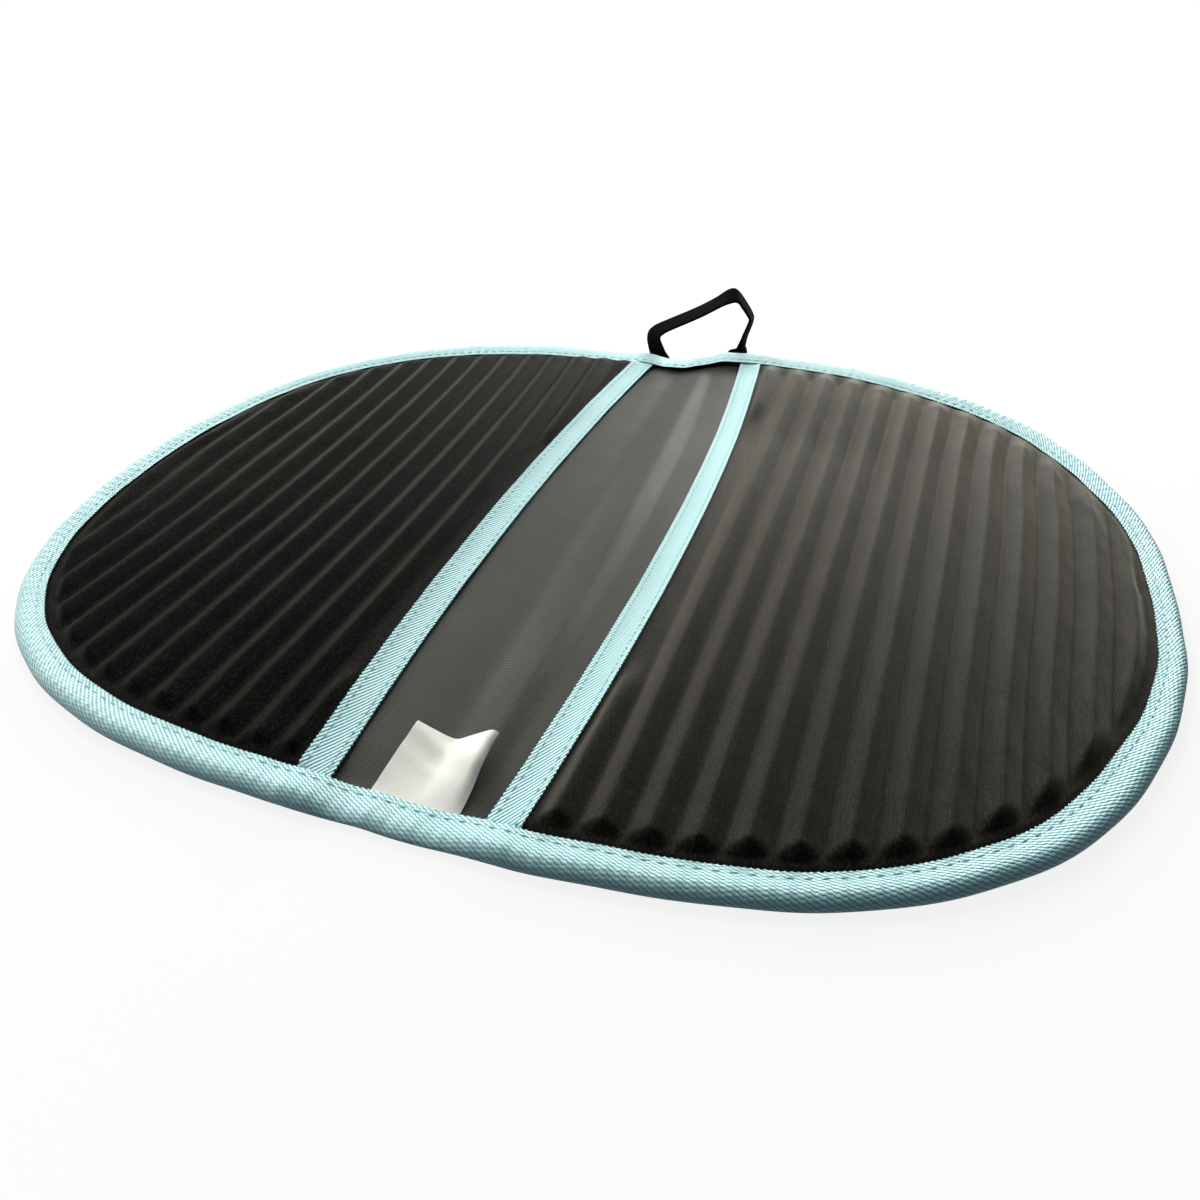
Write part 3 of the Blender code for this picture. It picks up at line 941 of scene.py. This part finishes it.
@dataclass
class RibbedPad:
    """One foam pad in moulded knit, with ribs that run from front to back."""

    half: Half
    pitch: float = 0.0122
    height: float = 0.0033
    first_groove: float = 0.046
    floor_share: float = 0.07
    foot: float = 0.0030
    front_end: float = 0.0038
    back_end: float = 0.0110
    inset: float = 0.0036
    bottom: float = 0.0011
    columns_per_rib: int = 18
    end_rows: int = 42
    middle_rows: int = 44

    def spread(self, y: Array) -> tuple[Array, Array, float]:
        """How the ribs of this half lie: they fan out a little towards the back.

        Args:
            y: places along the ribs.

        Returns:
            (distance of the first groove from the fold line, pitch there, change of pitch from rib to rib).
        """
        if self.half is Half.RIGHT:
            return np.full_like(y, self.first_groove), 0.01296 + 0.0058 * y, -0.00006
        return 0.0442 + 0.20 * np.maximum(y + 0.070, 0) ** 2, 0.01194 + 0.0020 * y, 0.00003

    def rise(self, x: Array, y: Array) -> Array:
        """Height of the ribs above the flat of the pad.

        Args:
            x: distance from the fold line.
            y: places along the ribs.

        Returns:
            The height at each place.
        """
        first, pitch, change = self.spread(y)
        turn = (np.sqrt(pitch**2 + 4 * change * (x - first)) - pitch) / (2 * change)
        rib = np.floor(turn)
        share = np.clip((turn - rib - self.floor_share / 2) / (1 - self.floor_share), 0, 1)
        wave = 1 - np.abs(2 * share - 1) ** 1.3
        uneven = np.sin(rib * 2.4 + self.half.value) * 0.5 + np.sin(rib * 5.1 + np.sign(y)) * 0.5
        bound = FORM.edge_value(self.half.value * x, y, EdgeColumn.WIDTH)
        back = smooth(y / 0.060)
        foot = bound + self.foot * (1 - 1.3 * back) + 0.0005 * uneven
        length = self.front_end + (self.back_end - self.front_end) * back
        run = np.clip((FORM.edge_distance(x, y) - foot) / length, 0, 1)
        ends = 1 - (1 - run) ** (1.8 - 0.6 * back)
        room = first - 0.5 * pitch - FORM.tape_outer(y)
        beside = np.clip((x - FORM.tape_outer(y) - 0.0012) / 0.0055, 0, 1)
        seam = np.where(rib < 0, smooth((room - 0.0021) / 0.0008) * (1 - (1 - beside) ** 2), 1.0)
        return self.height * (1 + 0.05 * uneven) * wave * ends * seam

    def top(self, x: Array, y: Array) -> Array:
        """Height of the knit.

        Args:
            x: distance from the fold line.
            y: places along the ribs.

        Returns:
            Height above the ground.
        """
        broad = 0.10 * MM * ripple(x * 3 + y, 21, (0.023, 0.041, 0.07))
        puckers = broad + 0.06 * MM * ripple(y, 22, (0.013, 0.031))
        seam = smooth((x - FORM.tape_outer(y)) / 0.004)
        return FORM.pad_flat(self.half.value * x, y) + self.rise(x, y) + puckers * seam

    def columns(self) -> Array:
        """Places the columns of points, close together on the ribs.

        Returns:
            Their distances from the fold line.
        """
        start, limit = self.first_groove - self.pitch, FORM.width / 2 - self.inset
        count = int((limit - start) / self.pitch * self.columns_per_rib)
        return np.r_[np.linspace(start, limit - 0.0008, count), limit - np.array([0.0005, 0.0002, 0.00004])]

    def build(self) -> bpy.types.Object:
        """Builds the pad as one closed cushion.

        Returns:
            The pad.
        """
        across = self.columns()
        reach = FORM.half_depth(across, self.inset)
        near = np.linspace(0, 1, self.end_rows) ** 1.3
        end_band = np.minimum(0.030 * np.hypot(1, np.gradient(reach, across)), 0.55 * reach)
        front = -reach[None, :] + near[:, None] * end_band[None, :]
        middle = np.linspace(-1, 1, self.middle_rows + 2)[1:-1, None] * (reach - end_band)[None, :]
        y = np.vstack([front, middle, -front[::-1]])
        first, pitch, change = self.spread(y)
        inner = FORM.tape_outer(y) - FORM.tape_on_pad
        turn = (across[None, :] - self.first_groove) / self.pitch
        fanned = first + turn * (pitch + change * turn)
        inside = smooth(FORM.edge_distance(across[None, :], y) / 0.030)
        outer = across + (fanned - across) * inside
        start = self.first_groove + (first - self.first_groove) * inside
        x = np.where(turn < 0, start + (start - inner) * np.maximum(turn, -1), outer)
        place = np.stack([self.half.value * x, y], axis=-1)
        top = FORM.settle(np.dstack([place, self.top(x, y)]))
        bottom = FORM.settle(np.dstack([place, np.full_like(y, self.bottom)]))
        if self.half is Half.LEFT:
            place, top, bottom = place[:, ::-1], top[:, ::-1], bottom[:, ::-1]
        return sheet_object(f"{self.half.word}_pad", top, bottom, place / MM, self.knit().make())

    def knit(self) -> MouldedKnit:
        """The knit's copy for this half: painted lit on the right, shaded on the left.

        Returns:
            The finish.
        """
        name = f"black_polyester_knit_moulded_{self.half.word}"
        # Lit and shaded copies of one knit: the right half's lighter colours, sheen and gloss are painted
        # light.
        if self.half is Half.RIGHT:
            return MouldedKnit(name, dark="#080706", light="#312d25", half_sheen=0.76, gloss=0.026)
        return MouldedKnit(name, dark="#080907", light="#282a23", half_sheen=0.05, gloss=0.012)

    def dress(self, pad: bpy.types.Object) -> None:
        """Hides the imported pad parts and hangs the pad on the body of its half.

        Args:
            pad: the pad.
        """
        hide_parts(f"{self.half.word}_foam_core", f"{self.half.word}_face_fabric")
        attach(pad, self.half.body)


@dataclass
class StitchRow:
    """A row of machine stitches: each is a short length of thread that dips into the cloth at both ends."""

    name: str
    pitch: float
    length: float = 0.0034
    diameter: float = 0.0005
    proud: float = 0.00007
    sunk: float = 0.00040
    points: int = 7
    sides: int = 6

    def build(self, line: Array, up: Array, finish: bpy.types.Material) -> bpy.types.Object:
        """Sews the row.

        Args:
            line: (n, 3) array of points that the row follows, close together.
            up: (n, 3) array of directions out of the cloth.
            finish: the thread's material.

        Returns:
            All the stitches of the row as one object.
        """
        lengths = run_lengths(line)
        count = int(lengths[-1] / self.pitch)
        share = np.linspace(-0.5, 0.5, self.points)
        places = ((np.arange(count) + 0.5) * lengths[-1] / count)[:, None] + share * self.length
        middle = read_along(line, lengths, places)
        out = unit(read_along(up, lengths, places))
        along = unit(np.gradient(middle, axis=1))
        aside = unit(np.cross(along, out))
        arch = 1 - (2 * share) ** 2
        middle = middle + out * (self.proud * arch - self.sunk * (1 - arch))[None, :, None]
        turn = np.arange(self.sides) * 2 * math.pi / self.sides
        swell = self.diameter / 2 * (0.55 + 0.45 * np.sqrt(arch + 1e-9))
        round_ = aside[:, :, None] * np.cos(turn)[:, None] + out[:, :, None] * np.sin(turn)[:, None]
        rings = middle[:, :, None] + round_ * swell[None, :, None, None]
        size = self.points * self.sides
        corners = grid_corners(self.points, self.sides, tube=True)
        one = corners[..., 0] * self.sides + corners[..., 1] % self.sides
        flat = np.stack([corners[..., 0] * self.length / self.points / MM, corners[..., 1] * 0.25], axis=-1)
        caps = [list(range(self.sides)), list(range(size - self.sides, size))]
        faces, cloth = [], []
        for stitch in range(count):
            faces += (one + stitch * size).tolist()
            faces += [[k + stitch * size for k in cap] for cap in caps]
            cloth += [flat.reshape(-1, 2), np.zeros((2 * self.sides, 2))]
        return mesh_object(self.name, rings, faces, finish, np.vstack(cloth), 80.0)


@dataclass
class SeamTape:
    """Twill tape over the inner edge of a pad, with a row of stitches along each side."""

    half: Half
    thickness: float = 0.0007
    row_step: float = 0.00055
    columns: int = 17
    stitch_inset: float = 0.0017
    stitch_pitch: float = 0.0043
    selvedge: float = 0.00022

    def surface(self, offset: Array, y: Array) -> tuple[Array, Array]:
        """The tape's upper face.

        Args:
            offset: distance inwards from the tape's outer edge.
            y: places along the tape.

        Returns:
            (x, z) of each place, with x as a distance from the fold line.
        """
        x = FORM.tape_outer(y) - offset
        on_pad = FORM.pad_flat(self.half.value * x, y) + 0.0001
        down = np.clip(offset / FORM.tape_width, 0, 1)
        cloth = FORM.cloth_thickness + 0.0012
        low = on_pad * (1 - down) + cloth * down
        sag = 0.00018 * ripple(y, 31 + self.half.value, (0.031, 0.052, 0.083))
        crown = 0.00022 * np.sin(math.pi * np.clip(offset / FORM.tape_width, 0, 1))
        ends = smooth((0.163 - np.abs(y)) / 0.006)
        return x, low + (sag + crown) * ends + self.thickness - 0.0007 * (1 - ends)

    def build(self, finish: bpy.types.Material, thread: bpy.types.Material) -> list[bpy.types.Object]:
        """Builds the tape and its stitches.

        Args:
            finish: the tape's material.
            thread: the thread's material.

        Returns:
            The tape, its outer stitches and its inner stitches.
        """
        reach = float(FORM.half_depth(0.034)) - FORM.binding_width + 0.0012
        rows = 2 * int(reach / self.row_step) + 1
        y = np.linspace(-reach, reach, rows)[:, None]
        offset = np.linspace(0, FORM.tape_width, self.columns)[None, :]
        tooth = self.selvedge * np.where(np.arange(rows) % 3 == 0, 1.0, -0.4)[:, None]
        edge = np.zeros((1, self.columns))
        edge[0, 0], edge[0, -1] = -1, 1
        x, z = self.surface(offset + tooth * edge, y)
        place = np.broadcast_to(y, x.shape)
        top = FORM.settle(np.stack([self.half.value * x, place, z], axis=-1))
        bottom = top - [0, 0, self.thickness]
        flat = np.stack([place * self.half.value, np.broadcast_to(offset, x.shape)], axis=-1) / MM
        word = self.half.word
        tape = sheet_object(f"{word}_seam_tape", top, bottom, flat, finish)
        made = [tape]
        for name, inset in (("outer", self.stitch_inset), ("inner", FORM.tape_width - self.stitch_inset)):
            along = np.linspace(-reach + 0.001, reach - 0.001, rows)
            x, z = self.surface(np.full(rows, inset), along)
            line = FORM.settle(np.stack([self.half.value * x, along, z], axis=-1))
            slope = self.surface(np.full(rows, inset + 0.0004), along)[1] - z
            lean = np.stack([self.half.value * slope / 0.0004, np.zeros(rows), np.ones(rows)], axis=-1)
            row = StitchRow(f"{word}_tape_{name}_stitches", self.stitch_pitch)
            made.append(row.build(line, unit(lean), thread))
        return made

    def dress(self, made: list[bpy.types.Object]) -> None:
        """Says what carries the tape and its stitches.

        Args:
            made: the pieces that build returned.
        """
        nodes = ("seam_tape", "tape_outer_thread", "tape_inner_thread")
        slots = (Slot.TAPE, Slot.THREAD, Slot.THREAD)
        for piece, node, slot in zip(made, nodes, slots):
            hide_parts(f"{self.half.word}_{node}")
            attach(piece, self.half.body)


@dataclass
class EdgeBinding:
    """Twill tape folded over the edge all round, puffed between its stitches and the edge."""

    thickness: float = 0.0007
    step: float = 0.00055
    section_points: int = 26
    stitch_inset: float = 0.0023
    stitch_pitch: float = 0.0043
    selvedge: float = 0.00022
    profile: tuple[tuple[float, float], ...] = (
        (1.00, 0.700), (0.93, 0.730), (0.76, 0.810), (0.60, 0.900), (0.44, 0.975),
        (0.28, 1.000), (0.13, 0.880), (0.03, 0.660), (0.00, 0.430), (0.03, 0.220),
        (0.12, 0.070), (0.28, 0.008), (0.55, 0.000), (1.00, 0.000),
    )

    def outer_path(self) -> Array:
        """The tape's outer face in section.

        Returns:
            (share of the width inwards, share of the height) of each point.
        """
        scale = np.array([FORM.binding_width, FORM.binding_height])
        line = catmull(np.array(self.profile) * scale, 400)
        return even_steps(line, self.section_points) / scale

    def build(self, finish: bpy.types.Material, thread: bpy.types.Material) -> list[bpy.types.Object]:
        """Builds the binding and its stitches.

        Args:
            finish: the tape's material.
            thread: the thread's material.

        Returns:
            The binding and its stitches.
        """
        length = FORM.edge(16)[2]
        count = 3 * round(length / self.step / 3)
        points, normals, _ = FORM.edge(count)
        around = np.arange(count) * length / count
        height = FORM.binding_top(points[:, 0], points[:, 1])
        soft = ripple(around, 41, (length / 5, length / 13, length / 29, length / 61))
        fold = bump(points[:, 0], 0.0, 0.030)
        height = height * (1 + 0.035 * soft) + 0.0004 * fold * ripple(around, 43, (length / 53, length / 97))
        sway = (0.00035 + 0.0005 * fold) * ripple(around, 42, (length / 7, length / 17, length / 37))
        pucker = np.cos(2 * math.pi * around / (length / round(length / self.stitch_pitch)))
        path = self.outer_path()
        width = FORM.edge_value(points[:, 0], points[:, 1], EdgeColumn.WIDTH)[:, None]
        inward = path[:, 0][None, :] * width
        up = path[:, 1][None, :] * height[:, None]
        top_side = (np.arange(self.section_points) < self.section_points * 0.45)[None, :]
        near_row = bump(inward - width, -self.stitch_inset, 0.0012) * top_side
        puffed = bump(inward, 0.0042, 0.0024) * top_side
        up = up - 0.00012 * near_row * (0.5 + 0.5 * pucker[:, None]) + 0.00010 * puffed * pucker[:, None]
        tooth = np.where(np.arange(count) % 3 == 0, 1.0, -0.4)
        inward[:, 0] += self.selvedge * tooth
        inward[:, 1] += 0.5 * self.selvedge * tooth
        inward = inward + sway[:, None]
        outer = np.stack([inward, up], axis=-1)
        out = np.gradient(outer, axis=1)
        facing = unit(np.stack([out[..., 1], -out[..., 0]], axis=-1))
        inner = (outer - facing * self.thickness)[:, ::-1]
        section = np.concatenate([outer, inner[:, ::3]], axis=1)
        rings = np.concatenate(
            [points[:, None] - normals[:, None] * section[..., :1], section[..., 1:]], axis=-1
        )
        lengths = np.linalg.norm(np.diff(outer, axis=1), axis=-1)
        across = np.concatenate([np.zeros((count, 1)), np.cumsum(lengths, axis=1)], axis=1)
        across = np.concatenate([across, across[:, ::-1][:, ::3], np.zeros((count, 1))], axis=1) / MM
        across = np.concatenate([across, across[:1]])
        along = np.arange(count + 1) * length / count / MM
        flat = np.stack(np.broadcast_arrays(along[:, None], across), axis=-1)
        binding = tube_object("edge_binding", FORM.settle(rings), flat, finish, closed=True)
        top = self.section_points // 3
        place = np.interp(self.stitch_inset / width[:, 0], 1 - path[:top, 0], np.arange(top))
        before, share = place.astype(int), (place % 1)[:, None]
        rows = np.arange(count)
        line = FORM.settle(rings[rows, before] * (1 - share) + rings[rows, before + 1] * share)
        tilt = facing[rows, before]
        lean = np.concatenate([-normals * tilt[:, :1], tilt[:, 1:]], axis=1)
        line, lean = np.vstack([line, line[:1]]), np.vstack([lean, lean[:1]])
        stitches = StitchRow("edge_binding_stitches", self.stitch_pitch).build(line, lean, thread)
        return [binding, stitches]

    def dress(self, made: list[bpy.types.Object]) -> None:
        """Hides the imported binding parts and bakes the transforms of the binding and its stitches into
        their meshes.

        Args:
            made: the pieces that build returned.
        """
        for piece, node, slot in zip(made, ("binding", "binding_thread"), (Slot.TAPE, Slot.THREAD)):
            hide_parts(f"left_{node}", f"right_{node}")
            bend_at_fold(piece)


@dataclass
class GrabLoop:
    """Short webbing loop at the back edge: it stands up, leans over and comes back with a twist."""

    width: float = 0.011
    thickness: float = 0.0012
    sections: int = 110
    edge_points: int = 3
    # Far edge and near edge of the strap, in millimetres: x, y, z, x, y, z.
    route: tuple[tuple[float, ...], ...] = (
        (-28.9, 168.0, 1.6, -16.9, 168.0, 1.6),
        (-28.6, 172.5, 1.4, -16.4, 172.0, 1.4),
        (-30.6, 175.5, 5.3, -20.2, 172.5, 5.4),
        (-32.0, 178.0, 8.8, -23.0, 172.5, 9.7),
        (-31.6, 179.5, 12.3, -23.5, 173.0, 11.8),
        (-29.3, 181.5, 14.5, -22.0, 173.5, 13.3),
        (-25.4, 182.0, 16.7, -18.5, 173.5, 15.6),
        (-8.0, 182.5, 25.4, -2.3, 173.0, 24.3),
        (2.4, 182.5, 31.5, 8.3, 173.0, 30.7),
        (8.2, 182.0, 35.9, 12.2, 173.0, 32.5),
        (11.4, 182.0, 37.6, 14.8, 173.0, 33.4),
        (14.4, 182.0, 37.0, 17.1, 173.0, 33.2),
        (18.9, 182.0, 31.9, 18.8, 173.0, 31.3),
        (23.0, 182.0, 25.6, 22.9, 173.0, 26.0),
        (23.3, 182.0, 21.7, 22.9, 173.0, 23.6),
        (21.1, 182.0, 14.2, 20.8, 173.0, 17.8),
        (20.4, 182.0, 9.9, 19.4, 173.0, 13.8),
        (20.8, 179.0, 6.6, 17.0, 172.0, 8.6),
        (23.2, 173.4, 3.4, 13.6, 171.6, 4.2),
        (23.6, 168.0, 2.4, 12.6, 168.0, 2.4),
    )

    def build(self) -> bpy.types.Object:
        """Builds the strap along its route.

        Returns:
            The loop.
        """
        line = catmull(np.array(self.route), self.sections * 6)
        lengths = run_lengths((line[:, :3] + line[:, 3:]) / 2)
        places = np.linspace(0, lengths[-1], self.sections)
        line = read_along(line, lengths, places)
        far, near = line[:, :3] * MM, line[:, 3:] * MM
        middle = (far + near) / 2
        across = (far - near) / self.width
        face = unit(np.cross(unit(np.gradient(middle, axis=0)), across))
        turn = np.linspace(-math.pi / 2, math.pi / 2, self.edge_points + 2)
        half, thick = self.width / 2, self.thickness / 2
        right = np.stack([half - thick + thick * np.cos(turn), thick * np.sin(turn)], axis=1)
        flat_run = np.linspace(half - thick, thick - half, 9)[1:-1]
        top = np.stack([flat_run, np.full(7, thick)], axis=1)
        outline = np.vstack([right, top, -right, -top])
        rings = middle[:, None] + across[:, None] * outline[:, :1] + face[:, None] * outline[:, 1:]
        girth = run_lengths(np.vstack([outline, outline[:1]])) / MM
        along_mm = np.r_[places, places[-1]]
        flat = np.stack(np.broadcast_arrays(along_mm[:, None], girth[None, :]), axis=-1)
        held = 1 - smooth((rings[..., 2:] - 0.004) / 0.006)
        rings = rings + (FORM.settle(rings) - rings) * held
        return tube_object("grab_loop_webbing", rings, flat, WovenWebbing().make())

    def dress(self, loop: bpy.types.Object) -> None:
        """Hides the imported loop and bakes its transform into its mesh; it has a foot on each half.

        Args:
            loop: the loop.
        """
        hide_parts("grab_loop")
        bend_at_fold(loop)


@dataclass
class SewnLabel:
    """Bare satin label, caught in the front binding, with a rolled edge and a sagging free end."""

    width: float = 0.0262
    length: float = 0.0310
    thickness: float = 0.0003
    left: float = -0.0111
    lean: float = 0.0012
    rolled: float = 0.15
    roll_degrees: float = 80.0
    left_rise: float = 0.0026
    right_rise: float = 0.0056
    notch: float = 0.0016
    columns: int = 41
    rows: int = 45

    def build(self) -> bpy.types.Object:
        """Builds the label.

        Returns:
            The label.
        """
        share = np.linspace(0, 1, self.columns)[None, :]
        run = np.linspace(0, 1, self.rows)[:, None]
        free = smooth(run)
        straight = 1 - self.rolled
        most = np.radians(4 + (self.roll_degrees - 4) * smooth(1.15 * run))
        curl = self.rolled * self.width / most
        turned = np.clip((share - straight) / self.rolled, 0, 1) * most
        x = self.left + self.width * np.minimum(share, straight) + curl * np.sin(turned)
        front = -(float(FORM.half_depth(0.012)) - FORM.binding_width) - 0.0012
        crease = np.hypot((share - 0.46) / 0.54, 0.12) - 0.12
        rise = np.where(share < 0.46, self.left_rise, self.right_rise)
        y = front + self.length * run + self.notch * run**3 * (crease - 0.5)
        below = BaseCloth().slack(x, y) + FORM.cloth_thickness + 0.00035
        z = below + 0.0006 * free + rise * free * crease - curl * (1 - np.cos(turned))
        wave = 0.00025 * ripple(self.length * run + 0.4 * self.width * share, 51, (0.009, 0.015))
        lean = self.lean * run
        top = np.stack(np.broadcast_arrays(x + lean, y, z + wave * free), axis=-1)
        out = unit(np.cross(np.gradient(top, axis=1), np.gradient(top, axis=0)))
        flat = np.stack(np.broadcast_arrays(self.length * run, self.width * share), axis=-1) / MM
        return sheet_object("bare_label", top, top - out * self.thickness, flat, LabelSatin().make())

    def dress(self, label: bpy.types.Object) -> None:
        """Hides the imported label and bakes the label's transform into its mesh.

        Args:
            label: the label.
        """
        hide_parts("care_label")
        bend_at_fold(label)


# The studio


@dataclass(frozen=True)
class SoftBox:
    """A square lamp that faces the mat: its place, side, power and colour."""

    name: str
    place: tuple[float, float, float]
    side: float
    watts: float
    colour: str

    def hang(self) -> None:
        """Adds the lamp, unseen by the camera."""
        data = bpy.data.lights.new(self.name, "AREA")
        data.shape = "SQUARE"
        data.size = self.side
        data.energy = self.watts
        data.color = linear(self.colour)[:3]
        made = bpy.data.objects.new(self.name, data)
        made.location = self.place
        made.rotation_euler = (-Vector(self.place)).to_track_quat("-Z", "Y").to_euler()
        made.visible_camera = False
        bpy.context.scene.collection.objects.link(made)


@dataclass
class Studio:
    """White sweep, soft light from behind on the left, and the camera."""

    floor_half: float = 6.0
    floor_drop: float = 0.0002
    azimuth: float = 19.080
    elevation: float = 34.723
    roll: float = -0.898
    distance: float = 0.32478
    target: tuple[float, float] = (0.018292, -0.052084)
    focal_pixels: float = 952.467
    image_pixels: float = 1200.0
    sensor: float = 36.0
    lamps: tuple[SoftBox, ...] = (
        SoftBox("low_window_behind", (0.060, 0.854, 0.278), 0.45, 9.0, "#fffdf8"),
        SoftBox("low_window_left", (-0.605, 0.605, 0.278), 0.45, 5.2, "#fffdf8"),
        SoftBox("low_window_end", (-0.849, -0.105, 0.278), 0.45, 4.0, "#fffdf8"),
        SoftBox("high_window_left", (-0.739, 0.620, 1.149), 0.8, 15.0, "#fdfeff"),
    )

    def camera(self) -> None:
        """Sets the camera at the photograph's angle."""
        azimuth, elevation, roll = (math.radians(a) for a in (self.azimuth, self.elevation, self.roll))
        back = Vector(
            (
                math.sin(azimuth) * math.cos(elevation),
                -math.cos(azimuth) * math.cos(elevation),
                math.sin(elevation),
            )
        )
        right = (-back).cross(Vector((0, 0, 1))).normalized()
        up = right.cross(-back)
        across = right * math.cos(roll) + up * math.sin(roll)
        upward = up * math.cos(roll) - right * math.sin(roll)
        data = bpy.data.cameras.new("camera")
        data.sensor_width = self.sensor
        data.lens = self.focal_pixels / self.image_pixels * self.sensor
        data.clip_start = 0.01
        made = bpy.data.objects.new("camera", data)
        bpy.context.scene.collection.objects.link(made)
        place = Vector((*self.target, 0)) + back * self.distance
        made.matrix_world = Matrix.Translation(place) @ Matrix((across, upward, back)).transposed().to_4x4()
        bpy.context.scene.camera = made

    def floor(self) -> None:
        """Lays the white floor: white to the camera apart from the shadow, and grey to the mat."""
        side, low = self.floor_half, -self.floor_drop
        points = np.array([(-side, -side, low), (side, -side, low), (side, side, low), (-side, side, low)])
        r = Recipe("white_paper_sweep")
        path = r.add("ShaderNodeLightPath").outputs
        mirrored = r.sum("MAXIMUM", path["Is Glossy Ray"], path["Is Transmission Ray"])
        seen = r.sum("MAXIMUM", path["Is Camera Ray"], mirrored)
        paper = r.add("ShaderNodeBsdfDiffuse", {"Color": linear("#f4f4f4")})
        shade = r.add("ShaderNodeBsdfDiffuse", {"Color": linear("#6a6e72")})
        glow = r.add("ShaderNodeEmission", {"Color": linear("#ffffff"), "Strength": 1.0})
        place = r.add("ShaderNodeTexCoord").outputs["Object"]
        away = r.add("ShaderNodeVectorMath", {0: place}, operation="LENGTH").outputs["Value"]
        bounds = {0: away, 1: 0.20, 2: 0.42, 3: 0.86, 4: 1.0}
        fade = r.add("ShaderNodeMapRange", bounds, interpolation_type="SMOOTHSTEP")
        white = r.add("ShaderNodeMixShader", {0: fade.outputs[0], 1: paper.outputs[0], 2: glow.outputs[0]})
        whole = r.add("ShaderNodeMixShader", {0: seen, 1: shade.outputs[0], 2: white.outputs[0]})
        r.add("ShaderNodeOutputMaterial", {"Surface": whole.outputs[0]})
        mesh_object("floor", points, [[0, 1, 2, 3]], r.material)

    def world(self) -> None:
        """Sets the dim light from all round, and white where the camera looks past the floor."""
        world = bpy.data.worlds.new("studio")
        bpy.context.scene.world = world
        world.use_nodes = True
        tree = world.node_tree
        tree.nodes.clear()
        path = add_node(tree, "ShaderNodeLightPath").outputs
        dim = add_node(tree, "ShaderNodeBackground", {"Color": linear("#c4e2f4"), "Strength": 0.12})
        white = add_node(tree, "ShaderNodeBackground", {"Color": linear("#ffffff"), "Strength": 1.0})
        parts = {0: path["Is Camera Ray"], 1: dim.outputs[0], 2: white.outputs[0]}
        both = add_node(tree, "ShaderNodeMixShader", parts)
        add_node(tree, "ShaderNodeOutputWorld", {"Surface": both.outputs[0]})

    def build(self) -> None:
        """Builds the studio."""
        self.camera()
        self.floor()
        self.world()
        for lamp in self.lamps:
            lamp.hang()
        bpy.context.scene.view_settings.view_transform = "Standard"


def main() -> None:
    """Builds the studio and the mat, piece by piece."""
    logging.basicConfig(level=logging.INFO, format="%(name)s: %(message)s")
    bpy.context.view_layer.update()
    Studio().build()
    thread = SewingThread().make()
    pieces: list[bpy.types.Object] = []
    for half in Half:
        pad_maker = RibbedPad(half)
        pad = pad_maker.build()
        pad_maker.dress(pad)
        pieces.append(pad)
    trim: list[bpy.types.Object] = []
    for half in Half:
        tape_maker = SeamTape(half)
        rows = (tape_maker.stitch_inset / MM, (FORM.tape_width - tape_maker.stitch_inset) / MM)
        tape_name = f"aqua_polyester_twill_{half.word}_tape"
        tape_finish = TwillTape(tape_name, rows, tape_maker.stitch_pitch / MM, -TwillTape.slant)
        made = tape_maker.build(tape_finish.make(), thread)
        tape_maker.dress(made)
        trim += made
    binding_maker = EdgeBinding()
    edge_rows = (binding_maker.stitch_inset / MM,)
    edge_finish = TwillTape("aqua_polyester_twill_binding", edge_rows, binding_maker.stitch_pitch / MM)
    made = binding_maker.build(edge_finish.make(), thread)
    binding_maker.dress(made)
    trim += made
    loop_maker = GrabLoop()
    loop = loop_maker.build()
    loop_maker.dress(loop)
    trim.append(loop)
    cloth_maker = BaseCloth()
    cloth = cloth_maker.build()
    cloth_maker.dress(cloth, trim)
    label_maker = SewnLabel()
    label = label_maker.build()
    label_maker.dress(label)
    for piece in [*pieces, *trim, cloth, label]:
        LOG.info("%s: %d faces", piece.name, len(piece.data.polygons))


if __name__ == "__main__":
    main()
